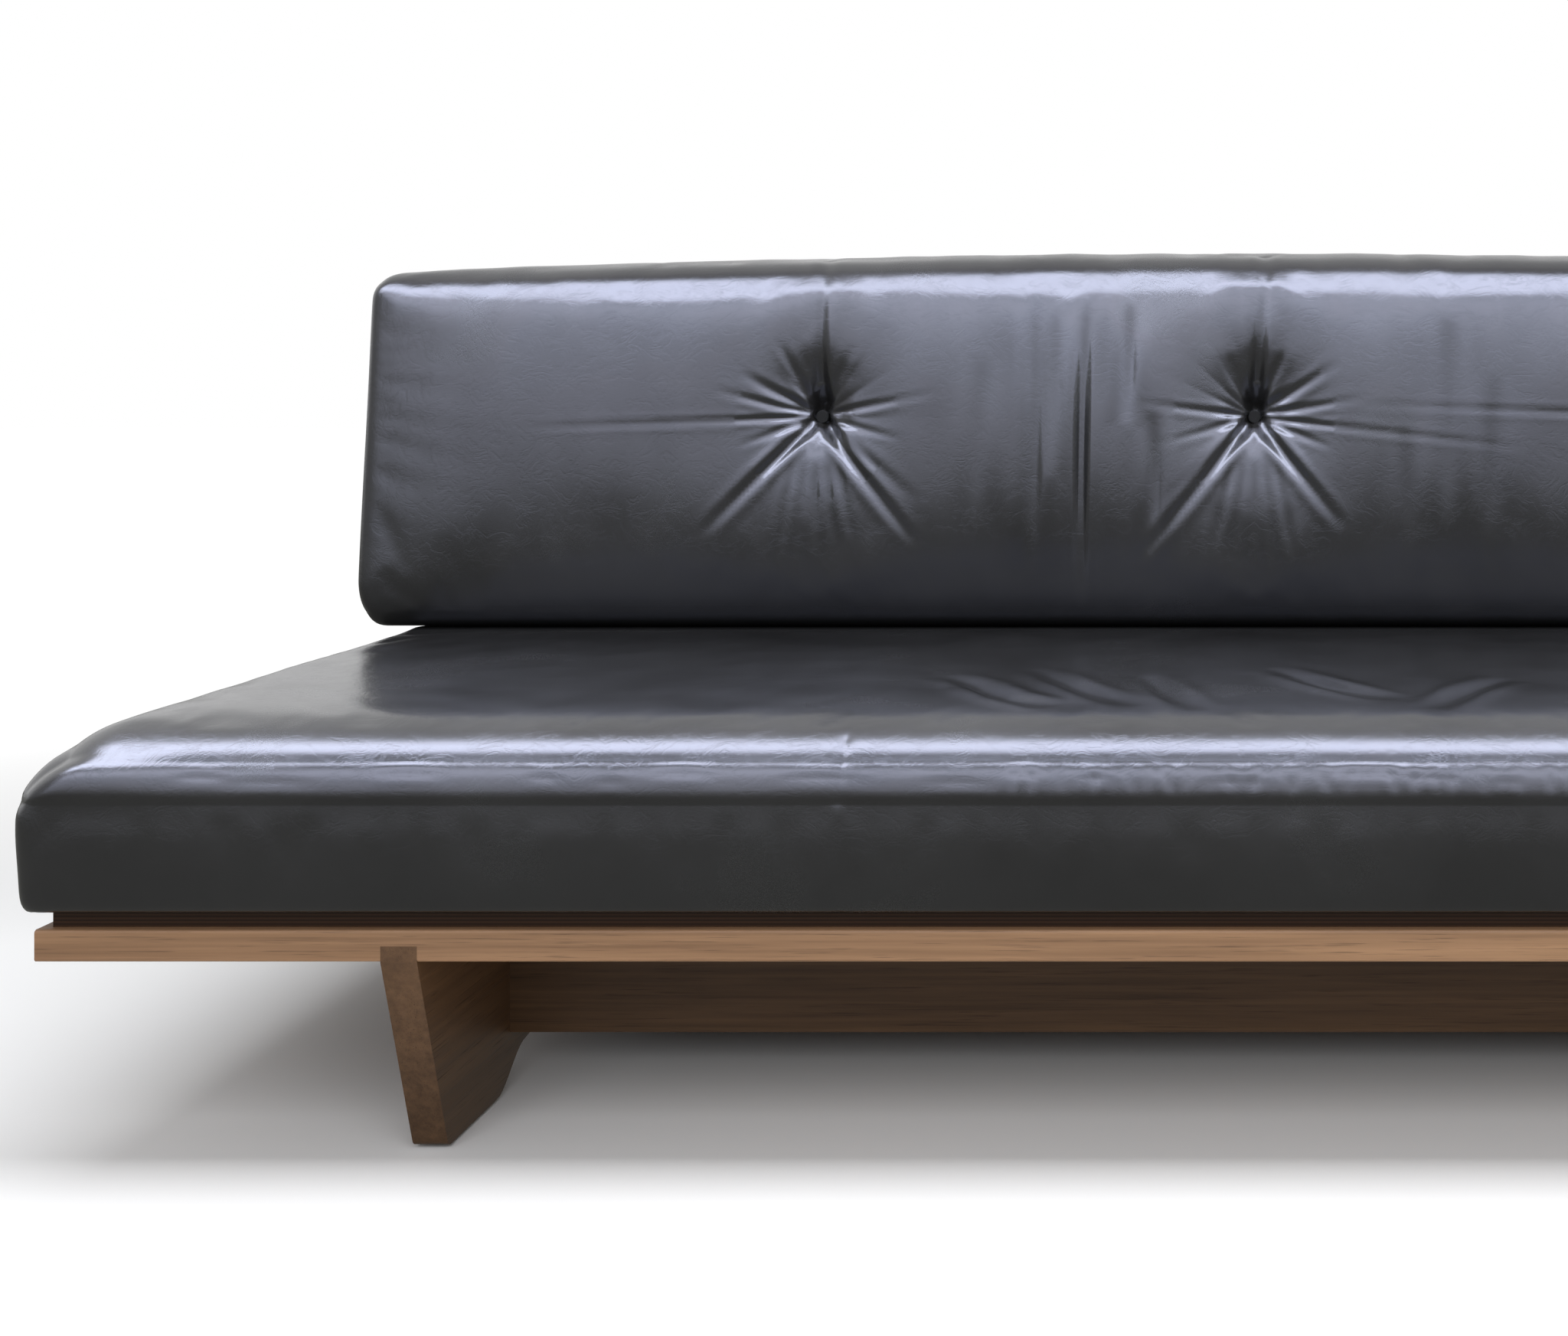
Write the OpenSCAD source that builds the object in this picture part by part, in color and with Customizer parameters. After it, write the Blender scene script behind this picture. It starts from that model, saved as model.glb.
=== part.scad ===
// Long leather sofa: a low wooden platform on plank legs, one bench seat cushion
// and one long tufted back cushion held by a slatted frame.
// X runs along the sofa, the front faces -Y and Z = 0 is the floor.
// The origin is the bottom centre of the whole sofa.
// Inside the modules a depth, d, is counted backwards from the front rail's face.

/* [Platform] */
// Length of the wooden platform
platform_l = 2130; // [1900:10:2400]
// Depth of the wooden platform, from front face to rear face
platform_d = 820; // [790:2:880]
// Height of the rails and of the cross bearers
rail_h = 28; // [24:1:36]
// Width of the rails, which lie flat
rail_w = 58; // [50:1:66]
// Radius that softens the long edges of the rails
rail_edge_r = 3; // [1:0.5:5]
// Width of a cross bearer
bearer_w = 45; // [40:1:60]
// Distance from the centre line to an outer cross bearer
bearer_x = 365; // [300:5:450]
// Thickness of the plywood deck
deck_t = 15; // [12:1:18]
// How far the deck's edge sits back from the platform's edge
deck_setback = 10; // [6:1:16]
// Diameter of an air hole in the deck
air_hole_d = 30; // [20:1:40]

/* [Legs and beams] */
// Height from the floor to the underside of the rails
leg_h = 190; // [175:5:260]
// Thickness of a leg board
leg_t = 32; // [30:1:40]
// Distance from the platform's end to a leg board
leg_inset = 302; // [220:2:340]
// How far a foot's leading edge slopes back between rail and floor
foot_slope = 64; // [40:2:80]
// Depth at which the flat sole of the front foot ends
sole_end = 168; // [150:2:176]
// Depth at which the curve behind the front foot reaches the arch
arch_start = 240; // [225:5:280]
// Height of the arch between the feet where it starts, above the sole
arch_side_h = 35; // [25:1:45]
// Further rise of the arch to the middle of the leg board
arch_rise = 12; // [4:1:16]
// Radius of the rounded toe of a foot
toe_r = 8; // [4:1:12]
// Thickness of a glide under a foot
glide_t = 3; // [2:0.5:4]
// Radius of a glide
glide_r = 12; // [9:0.5:14]
// Depth of a beam's outer face behind the platform's edge
beam_setback = 200; // [185:5:230]
// Thickness of a beam
beam_t = 28; // [26:1:36]
// Height of a beam
beam_h = 133; // [110:1:150]

/* [Back frame] */
// How far the back leans, in degrees
lean = 6; // [3:0.5:9]
// Thickness of a back post, along the sofa
post_t = 30; // [26:1:40]
// Width of a back post, front to back
post_w = 50; // [44:1:54]
// Height of the posts' upper ends above the floor
post_top_z = 800; // [770:5:830]
// Height of the posts' lower ends above the floor
post_foot_z = 64; // [60:1:80]
// Length of a back slat
slat_l = 1800; // [1600:10:1950]
// Width of a back slat
slat_w = 66; // [50:1:70]
// Thickness of a back slat
slat_t = 22; // [18:1:26]
// Height of the lowest slat's centre above the seat
slat_low = 60; // [50:1:80]
// Height of the middle slat's centre above the seat
slat_mid = 170; // [150:1:190]
// Height of the top slat's centre above the seat
slat_high = 350; // [330:1:365]

/* [Seat cushion] */
// Overall length of the seat cushion
seat_l = 2178; // [1950:2:2440]
// Distance from the seat cushion's rear face to the platform's rear edge
seat_rear_gap = 92; // [90:1:110]
// Height of the seat cushion at its edges
seat_t = 158; // [130:1:180]
// How far the seat cushion stands proud of the front rail
seat_over = 8; // [4:1:14]
// Radius of the seat's rounded top edge, which ends at the side seam
seat_edge_r = 52; // [40:1:58]
// Radius of the seat's upright corners
seat_corner_r = 18; // [12:1:40]
// Radius of the seat's bottom edge
seat_foot_r = 14; // [8:1:20]
// Height of the crown at the middle of the seat
seat_crown = 6; // [2:1:9]
// How far the ends are drawn in at the bottom
seat_draw = 8; // [2:1:14]
// Distance from the centre line to a cross seam
seam_x = 363; // [300:1:420]
// Depth of the channel that a cross seam makes
seam_deep = 3; // [1:0.5:5]

/* [Back cushion] */
// Distance from the back cushion's lower front to the platform's rear edge
back_room = 212; // [206:1:220]
// Overall length of the back cushion
back_l = 2178; // [1950:2:2440]
// Thickness of the back cushion
back_t = 150; // [130:1:160]
// Height of the back cushion at its ends
back_h = 432; // [410:2:460]
// Extra height of the back cushion at its middle
back_rise = 24; // [10:1:34]
// How far the front of the back cushion swells
back_crown = 16; // [6:1:22]
// Radius of the front edges of the back cushion
back_edge_r = 38; // [28:1:45]
// Radius of the front upright corners of the back cushion
back_corner_r = 16; // [12:1:36]
// Radius of the rear edges of the back cushion
back_rear_r = 14; // [10:1:18]
// Distance from the middle tuft to an outer tuft
tuft_x = 530; // [480:5:600]
// Height of the tufts above the cushion's underside
tuft_z = 255; // [235:1:275]
// Depth of a tuft
tuft_deep = 45; // [30:1:50]
// Half width of the hollow that a tuft makes
tuft_r = 30; // [26:1:32]
// Thickness of a cover with its wadding
wrap_t = 14; // [13:0.5:18]

/* [Fasteners] */
// Radius of a furniture bolt's shank
bolt_r = 4; // [3:0.5:5]
// Radius of a bolt's flat head, and of its nut
bolt_head_r = 8.5; // [7:0.5:9]
// Radius of a barrel nut
barrel_r = 6; // [5.5:0.5:7]
// Radius of a wood screw's shank
screw_r = 2.5; // [2:0.25:3]
// Length of a screw in the deck or the slats
screw_l = 34; // [28:1:36]
// Length of a screw that holds the platform on a leg board
leg_screw_l = 60; // [50:2:66]
// Radius of a dowel
dowel_r = 4; // [3:0.5:5]
// Length of a dowel
dowel_l = 40; // [30:2:50]

/* [Zips] */
// Length of a zip
zip_l = 1360; // [1200:10:1390]
// Width of a zip's tape
tape_w = 26; // [20:1:28]

/* [Hidden] */
$fn = 48;

// Clearances: soft parts from what they touch, turned parts in their holes
soft_gap = 0.3;
hole_gap = 0.1;
pivot_gap = 0.05;

// Heights
rail_top = leg_h + rail_h;
seat_z = rail_top + deck_t;
seat_top = seat_z + seat_t;
beam_z = leg_h - beam_h;
tongue_z = leg_h + rail_h / 2;

// Fasteners: the step from a cross piece's centre to its dowels, the heights of the bolts
// as shares of a beam's height, the distance of a barrel nut from its leg board, the steps
// of a post bolt from the post's foot and from the rails, and the sizes of heads and pins
dowel_step = 12;
bolt_shares = [0.27, 0.73];
barrel_step = 34;
barrel_gap = 4;
bolt_past = 12;
post_bolt_low = 28;
post_bolt_high = 24;
bolt_head_t = 3;
socket_t = 1.5;
socket_r = 2.9;
nut_t = 8;
pin_r = 1.5;
pin_l = 16;
air_share = 0.3;

// Places along the sofa
leg_out = platform_l / 2 - leg_inset;
leg_in = leg_out - leg_t;
barrel_x = leg_in - barrel_step;
deck_screw_step = (platform_l - 2 * rail_w) / 5.2;
end_rail_x = (platform_l - rail_w) / 2;
cross_xs = [-end_rail_x, -bearer_x, 0, bearer_x, end_rail_x];

// Depths at which the cushions lie, and the seat's crown where the back cushion starts,
// which sets the back cushion's height
seat_d = platform_d - seat_rear_gap + seat_over;
back_front = platform_d - back_room;
seat_mid_d = seat_d / 2 - seat_over;
under_back = 1 - pow((back_front - seat_mid_d) / (seat_d / 2), 2);
back_z = seat_top + seat_crown * under_back + soft_gap;
post_plane = back_front + back_t + soft_gap;

// Tufts: their height, the rear end of their cords, and the distances from a tuft at which
// the cover has points
tuft_height = back_z + tuft_z;
tuft_rear = back_front + back_t + tuft_z * tan(lean);
tuft_spots = [0, 19, 40, 75];
cord_r = 1.5;
button_r = 8;
button_t = 5;
button_edge = 1;
washer_r = 16;
washer_t = 2.4;
tuft_v = 2 * tuft_z / (back_h + back_rise) - 1;
hollow_fall = tuft_hollow(0, tuft_height) - tuft_hollow(tuft_spots[1], tuft_height);
button_rise = button_r * (sqrt(2) * hollow_fall / tuft_spots[1] + tan(lean));
button_at = tuft_deep - back_t - back_swell(0, tuft_v) - button_rise - soft_gap;

// Distances from the centre line: the ends of the slits for the zips, and the points that
// the cushions' skins have between the tufts, the cross seams and the ends
slit_x = tuft_x + tuft_spots[2];
back_stations = [130, tuft_x / 2, tuft_x - 130];
back_outer_stations = [tuft_x + 150, tuft_x + 330];
seat_stations = [0, 95, 190, 280];
seat_outer_stations = [470, slit_x, 720, 850, 960];
end_shares = [1, 0.5, 0.26, 0.09, 0];
seam_half = 9;
seam_spots = [-seam_half, -seam_half / 3, 0, seam_half / 3, seam_half];
seat_draw_l = 150;

// Zips: the seat's is on its rear face and the back's is under it, behind the seat
zip_height = (seat_z + seat_foot_r + seat_top - seat_edge_r) / 2;
zip_depth = back_front + back_t - back_rear_r - tape_w / 2;
tape_t = 1.2;
tape_end = 8;
tape_gap = 3;
chain_w = 5;
chain_t = 2;
slider_l = 10;
slider_w = 11;
slider_top = 2;
slider_t = chain_t + slider_top;
ear_h = 3.6;
ear_t = 1.6;
ear_x = 3.2;
pivot_rise = 1.8;
pivot_y = slider_t + pivot_rise;
pivot_r = 1;
pull_neck = 7;
neck_w = 2.6;
pull_w = 8;
pull_l = 25;
pull_t = 1.6;

// The sofa reaches from the seat's front to the upper rear corner of the posts
post_reach = post_plane + (post_top_z - back_z) * tan(lean) + post_w / cos(lean);
mid_d = (post_reach - seat_over) / 2;

wood = [0.56, 0.43, 0.33];
dark_wood = [0.30, 0.22, 0.16];
plywood = [0.36, 0.24, 0.17];
leather = [0.13, 0.13, 0.15];
foam = [0.90, 0.86, 0.70];
steel = [0.62, 0.63, 0.65];
black = [0.10, 0.10, 0.11];

// Puts depths counted from the front rail into the sofa's own frame
module placed() {
    translate([0, -mid_d, 0]) children();
}

// Turns +Z back by the lean, about the foot of the back cushion's rear face
module leaned() {
    translate([0, post_plane, back_z]) rotate([-lean, 0, 0]) children();
}

// Runs the children on the right, and their mirror image on the left
module both_sides() {
    children();
    mirror([1, 0, 0]) children();
}

// Rounded bar along X, with its section's low corner at y = 0, z = 0
module bar(length, width, height, r) {
    translate([length / 2, 0, 0]) rotate([0, -90, 0]) linear_extrude(length) {
        translate([r, 0]) square([height - 2 * r, width]);
        translate([0, r]) square([height, width - 2 * r]);
        for (z = [r, height - r], y = [r, width - r]) translate([z, y]) circle(r);
    }
}

// Rod along X from x0 to x1
module rod_x(x0, x1, r) {
    translate([x0, 0, 0]) rotate([0, 90, 0]) cylinder(h = x1 - x0, r = r);
}

// Countersunk screw whose head is flush at z = 0 and whose point is below
module screw(length, gap = 0) {
    head_r = 2 * screw_r + gap;
    translate([0, 0, -head_r]) cylinder(h = head_r, r1 = 0, r2 = head_r);
    translate([0, 0, -length - gap]) cylinder(h = length + gap, r = screw_r + gap);
}

module at_each_dowel() {
    for (x = cross_xs, side = [-1, 1], d = [rail_w, platform_d - rail_w])
        translate([x + side * dowel_step, d, tongue_z]) rotate([90, 0, 0]) children();
}

module dowels(gap = 0) {
    at_each_dowel() cylinder(h = dowel_l + 2 * gap, r = dowel_r + gap, center = true);
}

// Slots that the two posts pass through, cut a little wide
module post_slots() {
    both_sides() post_blank(hole_gap);
}

module leg_tongues() {
    both_sides() translate([leg_in, 0, leg_h]) cube([leg_t, platform_d, rail_h / 2]);
}

module at_each_leg_screw() {
    both_sides() for (d = [rail_w / 2, platform_d - rail_w / 2])
        translate([leg_out - leg_t / 2, d, rail_top]) children();
}

module at_each_deck_screw() {
    for (i = [-2.5:1:2.5], d = [rail_w / 2, platform_d - rail_w / 2])
        translate([i * deck_screw_step, d, seat_z]) children();
}

module long_rail(d) {
    difference() {
        translate([0, d, leg_h]) bar(platform_l, rail_w, rail_h, rail_edge_r);
        leg_tongues();
        dowels(hole_gap);
        at_each_leg_screw() screw(leg_screw_l, hole_gap);
        at_each_deck_screw() screw(screw_l, hole_gap);
    }
}

module front_rail() {
    color(wood) placed() long_rail(0);
}

module rear_rail() {
    color(wood) placed() difference() {
        long_rail(platform_d - rail_w);
        post_slots();
    }
}

// Piece between the two long rails, centred on x
module cross_piece(x, width) {
    difference() {
        translate([x, rail_w, leg_h]) rotate([0, 0, 90])
            translate([(platform_d - 2 * rail_w) / 2, -width / 2, 0])
                bar(platform_d - 2 * rail_w, width, rail_h, rail_edge_r);
        dowels(hole_gap);
    }
}

module left_end_rail() {
    color(wood) placed() cross_piece(-end_rail_x, rail_w);
}

module right_end_rail() {
    color(wood) placed() cross_piece(end_rail_x, rail_w);
}

module left_bearer() {
    color(wood) placed() cross_piece(-bearer_x, bearer_w);
}

module centre_bearer() {
    color(wood) placed() cross_piece(0, bearer_w);
}

module right_bearer() {
    color(wood) placed() cross_piece(bearer_x, bearer_w);
}

module deck_panel() {
    size = [platform_l - 2 * deck_setback, platform_d - 2 * deck_setback, deck_t];
    color(plywood) placed() difference() {
        translate([-size[0] / 2, deck_setback, rail_top]) cube(size);
        both_sides() for (x = [bearer_x / 2, bearer_x + (leg_in - bearer_x) / 2, leg_out + leg_inset / 2])
            for (d = [air_share, 1 - air_share] * platform_d)
                translate([x, d, rail_top - 1]) cylinder(h = deck_t + 2, r = air_hole_d / 2);
        deck_notches();
        at_each_deck_screw() screw(screw_l, hole_gap);
    }
}

// Open notches that let the deck drop over the posts
module deck_notches() {
    front = post_plane - (back_z - rail_top) * tan(lean) - 1;
    both_sides() translate([leg_in - post_t - 1, front, rail_top - 1])
        cube([post_t + 2, platform_d - front, deck_t + 2]);
}

// Half of a leg board's outline, from the middle of its top to the middle of the arch
function front_foot() = let (
    tilt = atan(foot_slope / leg_h),
    toe_z = glide_t + toe_r,
    toe_d = foot_slope * (leg_h - toe_z) / leg_h + toe_r / cos(tilt),
    top_z = rail_top,
    mid = platform_d / 2
) concat(
    [[mid, top_z], [rail_w, top_z], [rail_w, tongue_z], [0, tongue_z], [0, leg_h]],
    [for (i = [0:6]) let (a = 180 + tilt + (90 - tilt) * i / 6)
        [toe_d + toe_r * cos(a), toe_z + toe_r * sin(a)]],
    [for (i = [0:10]) [sole_end + (arch_start - sole_end) * i / 10,
        glide_t + arch_side_h * (1 - cos(18 * i)) / 2]],
    [for (i = [1:6]) [arch_start + (mid - arch_start) * i / 6,
        glide_t + arch_side_h + arch_rise * sin(15 * i)]]
);

module leg_outline() {
    half = front_foot();
    rear = [for (i = [len(half) - 2:-1:1]) [platform_d - half[i][0], half[i][1]]];
    polygon(concat(half, rear));
}

// Runs the children at each bolt between a leg board and a beam, for the right-hand leg
module at_each_beam_bolt() {
    for (d = [beam_setback + beam_t / 2, platform_d - beam_setback - beam_t / 2])
        for (share = bolt_shares) translate([0, d, beam_z + share * beam_h]) children();
}

// Runs the children at each bolt between a leg board and a back post
module at_each_post_bolt() {
    for (z = [post_foot_z + post_bolt_low, leg_h - post_bolt_high])
        translate([0, post_plane - (back_z - z) * tan(lean) + post_w / 2, z]) children();
}

module right_leg() {
    difference() {
        translate([leg_in, 0, 0]) rotate([90, 0, 90]) linear_extrude(leg_t) leg_outline();
        at_each_beam_bolt() rod_x(leg_in - 1, leg_out + 1, bolt_r + hole_gap);
        at_each_post_bolt() rod_x(leg_in - 1, leg_out + 1, bolt_r + hole_gap);
        at_each_leg_screw() screw(leg_screw_l, hole_gap);
        glide_pins(hole_gap);
    }
}

module left_leg_board() {
    color(wood) placed() mirror([1, 0, 0]) right_leg();
}

module right_leg_board() {
    color(wood) placed() right_leg();
}

module at_each_glide() {
    sole = (foot_slope + toe_r + sole_end) / 2;
    both_sides() for (d = [sole, platform_d - sole]) translate([leg_out - leg_t / 2, d, 0]) children();
}

module glide_pins(gap = 0) {
    at_each_glide() translate([0, 0, glide_t - 1]) cylinder(h = pin_l + gap, r = pin_r + gap);
}

module foot_glides() {
    color(black) placed() {
        at_each_glide() cylinder(h = glide_t, r = glide_r);
        glide_pins();
    }
}

module beam(d) {
    difference() {
        translate([-leg_in, d, beam_z]) cube([2 * leg_in, beam_t, beam_h]);
        both_sides() at_each_beam_bolt() {
            rod_x(barrel_x - bolt_past - 1, leg_in + 1, bolt_r + hole_gap);
            barrel(hole_gap);
        }
    }
}

// Cross dowel of steel, which stops short of the beam's faces
module barrel(gap = 0) {
    translate([barrel_x, 0, 0]) rotate([90, 0, 0])
        cylinder(h = beam_t - 2 * barrel_gap + 2 * gap, r = barrel_r + gap, center = true);
}

module front_beam() {
    color(dark_wood) placed() beam(beam_setback);
}

module rear_beam() {
    color(dark_wood) placed() beam(platform_d - beam_setback - beam_t);
}

// Flat-headed bolt along X, its head on the leg's outer face
module furniture_bolt(tip_x) {
    rod_x(tip_x, leg_out + 1, bolt_r);
    difference() {
        rod_x(leg_out, leg_out + bolt_head_t, bolt_head_r);
        translate([leg_out + bolt_head_t - socket_t, 0, 0]) rotate([0, 90, 0])
            cylinder(h = socket_t + 1, r = socket_r, $fn = 6);
    }
}

module beam_bolts() {
    color(steel) placed() both_sides() at_each_beam_bolt() furniture_bolt(barrel_x - bolt_past);
}

module barrel_nuts() {
    color(steel) placed() both_sides() at_each_beam_bolt() difference() {
        barrel();
        rod_x(barrel_x - 2 * barrel_r, barrel_x + 2 * barrel_r, bolt_r + hole_gap);
    }
}

module post_bolts() {
    color(steel) placed() both_sides() at_each_post_bolt() furniture_bolt(leg_in - post_t - nut_t - 2);
}

module post_nuts() {
    color(steel) placed() both_sides() at_each_post_bolt() difference() {
        rod_x(leg_in - post_t - nut_t, leg_in - post_t, bolt_head_r);
        rod_x(leg_in - post_t - nut_t - 1, leg_in - post_t + 1, bolt_r + hole_gap);
    }
}

module leg_screws() {
    color(steel) placed() at_each_leg_screw() screw(leg_screw_l);
}

module deck_screws() {
    color(steel) placed() at_each_deck_screw() screw(screw_l);
}

module frame_dowels() {
    color(wood) placed() dowels();
}

// Right-hand post, grown by the gap on the faces that meet the platform
module post_blank(gap = 0) {
    foot = (post_foot_z - back_z) / cos(lean);
    head = (post_top_z - back_z) / cos(lean);
    leaned() translate([leg_in - post_t - gap, -gap, foot])
        cube([post_t + gap, post_w + 2 * gap, head - foot + tan(lean) * post_w]);
}

module right_post() {
    difference() {
        post_blank();
        translate([0, 0, post_top_z]) cube([2 * leg_in, 2 * platform_d, post_w]);
        at_each_post_bolt() rod_x(leg_in - post_t - 1, leg_in + 1, bolt_r + hole_gap);
        slat_seats();
        slat_screw_set(hole_gap);
    }
}

module left_back_post() {
    color(wood) placed() mirror([1, 0, 0]) right_post();
}

module right_back_post() {
    color(wood) placed() right_post();
}

// Notches in the posts' front faces, as deep as the slats are thick
module slat_seats() {
    for (h = [slat_low, slat_mid, slat_high])
        leaned() translate([0, -1, h - slat_w / 2]) cube([leg_out, slat_t + 1, slat_w]);
}

module slat(h) {
    difference() {
        leaned() translate([0, 0, h - slat_w / 2]) bar(slat_l, slat_t, slat_w, rail_edge_r);
        slat_screw_set(hole_gap);
    }
}

module slat_screw_set(gap = 0) {
    both_sides() for (h = [slat_low, slat_mid, slat_high], step = [-1, 1])
        leaned() translate([leg_in - post_t / 2, 0, h + step * slat_w / 4]) rotate([90, 0, 0])
            screw(screw_l, gap);
}

module lower_back_slat() {
    color(wood) placed() slat(slat_low);
}

module middle_back_slat() {
    color(wood) placed() slat(slat_mid);
}

module upper_back_slat() {
    color(wood) placed() slat(slat_high);
}

module slat_screws() {
    color(steel) placed() slat_screw_set();
}

// How far a surface has turned in at x, on a rounded end of radius r
function end_round(x, half, r) = let (past = max(0, abs(x) - half + r)) r - sqrt(max(0, r * r - past * past));

// Points on a quarter circle, from angle a
function quarter(y, z, r, a, n) = [for (i = [0:n]) let (b = a + 90 * i / n) [y + r * cos(b), z + r * sin(b)]];

// Points inside the straight stretch from p to q
function inside(p, q, n) = [for (i = [1:1:n - 1]) p + (q - p) * i / n];

// Points along X from the left end to the right end, given those of the right half
function mirrored(xs) = concat([for (i = [len(xs) - 1:-1:0]) if (xs[i] > 0) -xs[i]], xs);

// Places on a rounded end of radius r, in n steps, and a finer set for a skin that shows
function end_steps(half, r, n) = [for (i = [0:n]) half - r + r * sin(90 * i / n)];

function fine_end(half, r) = [for (share = end_shares) half - share * r];

// Points of a closed skin: those of its rings, then the middles of the first and the last
function skin_points(rings) = concat(
    [for (ring = rings) each ring], [middle(rings[0]), middle(rings[len(rings) - 1])]
);

function middle(ring) = [for (p = ring) 1] * ring / len(ring);

// Faces of a closed skin over n rings of m points, without those of one ring segment
// between two rings: gap is [segment, first ring, last ring]
function skin_faces(n, m, gap = [-1, 0, 0]) = let (last = (n - 1) * m) concat(
    [for (i = [0:n - 2], j = [0:m - 1]) let (a = i * m + j, b = i * m + (j + 1) % m)
        if (j != gap[0] || i < gap[1] || i >= gap[2]) each [[a, a + m, b], [b, a + m, b + m]]],
    [for (j = [0:m - 1]) let (next = (j + 1) % m)
        each [[n * m, j, next], [n * m + 1, last + next, last + j]]]
);

module solid_loft(rings) {
    polyhedron(points = skin_points(rings), faces = skin_faces(len(rings), len(rings[0])));
}

// Two skins joined round a slit, as a cover is open behind its zip.
// xs and inner_xs are where the rings stand, and the slit lies between -slit_x and slit_x
// on the segment that starts at point j of an outer ring and at inner_j of an inner one.
module slit_shell(rings, xs, j, inner_rings, inner_xs, inner_j) {
    m = len(rings[0]);
    k = len(inner_rings[0]);
    base = len(rings) * m + 2;
    ends = [index_of(xs, -slit_x), index_of(xs, slit_x)];
    inner_ends = [index_of(inner_xs, -slit_x), index_of(inner_xs, slit_x)];
    outer_faces = skin_faces(len(rings), m, [j, ends[0], ends[1]]);
    inner_faces = [for (f = skin_faces(len(inner_rings), k, [inner_j, inner_ends[0], inner_ends[1]]))
        [base + f[2], base + f[1], base + f[0]]];
    long_rims = [for (side = [0, 1], i = [inner_ends[0]:inner_ends[1] - 1]) let (
        near = base + i * k + inner_j + side,
        far = near + k,
        first = index_of(xs, inner_xs[i]),
        stop = index_of(xs, inner_xs[i + 1])
    ) each concat(
        [for (o = [first:stop - 1]) turned([o * m + j + side, (o + 1) * m + j + side, near], side)],
        [turned([stop * m + j + side, far, near], side)]
    )];
    end_rims = [for (side = [0, 1]) let (
        a = ends[side] * m + j,
        b = base + inner_ends[side] * k + inner_j
    ) each [turned([a, b + 1, a + 1], side), turned([a, b, b + 1], side)]];
    polyhedron(
        points = concat(skin_points(rings), skin_points(inner_rings)),
        faces = concat(outer_faces, inner_faces, long_rims, end_rims)
    );
}

function turned(face, flip) = flip == 1 ? [face[2], face[1], face[0]] : face;

function index_of(xs, x) = [for (i = [0:len(xs) - 1]) if (xs[i] == x) i][0];

// Section of the seat cushion at x, drawn in by inset; steps are those of each corner
function seat_ring(x, inset, steps, seam) = let (
    half = seat_l / 2 - inset,
    top_r = seat_edge_r - inset / 2,
    low_r = seat_foot_r,
    groove = seam * seam_deep * max(0, 1 - abs(abs(x) - seam_x) / seam_half),
    a = seat_d / 2 - inset - groove - end_round(x, half, max(1, seat_corner_r - inset)),
    zt = seat_top - inset - groove - end_round(x, half, top_r),
    zb = seat_z + soft_gap + inset + end_round(x, half, low_r),
    zm = (zt + zb) / 2,
    near_end = max(0, 1 - (half - abs(x)) / seat_draw_l),
    flat_ring = concat(
        quarter(a - low_r, zb + low_r, low_r, -90, steps),
        [[a, zip_height - 2], [a, zip_height + 2]],
        quarter(a - top_r, zt - top_r, top_r, 0, steps),
        inside([a - top_r, zt], [top_r - a, zt], 2 * steps),
        quarter(top_r - a, zt - top_r, top_r, 90, steps),
        inside([-a, zt - top_r], [-a, zb + low_r], 2),
        quarter(low_r - a, zb + low_r, low_r, 180, steps)
    )
) [for (p = flat_ring) let (
    up = max(0, (p[1] - zm) / (zt - zm)),
    swell = seat_crown * up * (1 - pow(x / half, 2)) * (1 - pow(p[0] / a, 2)),
    down = max(0, (seat_top - seat_edge_r - p[1]) / (seat_t - seat_edge_r)),
    drawn = seat_draw * pow(near_end, 2) * down
) [x - sign(x) * drawn, seat_mid_d + p[0], p[1] + swell]];

// Places of the rings of the seat's skin and of its filling
function seat_xs() = mirrored(concat(
    seat_stations, [for (s = seam_spots) seam_x + s], seat_outer_stations,
    fine_end(seat_l / 2, seat_edge_r)
));

function seat_filling_xs(inset) = mirrored(concat(
    [0, slit_x], end_steps(seat_l / 2 - inset, seat_edge_r, 2)
));

function seat_filling(inset) = [for (x = seat_filling_xs(inset)) seat_ring(x, inset, 2, 0)];

module seat_cover() {
    steps = 3;
    color(leather) placed() slit_shell(
        [for (x = seat_xs()) seat_ring(x, 0, steps, 1)], seat_xs(), steps + 1,
        seat_filling(wrap_t), seat_filling_xs(wrap_t), 3
    );
}

module seat_core() {
    color(foam) placed() solid_loft(seat_filling(wrap_t + soft_gap));
}

// Hollow that the tufts pull into the front of the back cushion at x, z
function tuft_hollow(x, z) = let (
    from_tuft = min(abs(x), abs(abs(x) - tuft_x)),
    r2 = pow(from_tuft, 2) + pow(z - tuft_height, 2)
) tuft_deep * exp(-r2 / (tuft_r * tuft_r));

// Heights of the points on the back cushion's front, close together beside the tufts
function front_rows(low, high, fine) = let (near = tuft_spots[2]) fine ? concat(
    [(low + tuft_height - tuft_spots[3]) / 2],
    [for (i = [3:-1:1]) tuft_height - tuft_spots[i]],
    [for (s = tuft_spots) tuft_height + s],
    [(high + tuft_height + tuft_spots[3]) / 2]
) : [tuft_height - near, tuft_height, tuft_height + near];

// How far the front of the back cushion swells at x and at v, from -1 low to 1 high
function back_swell(x, v) = back_crown * (1 - pow(2 * x / back_l, 4)) * (1 - v * v);

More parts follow.
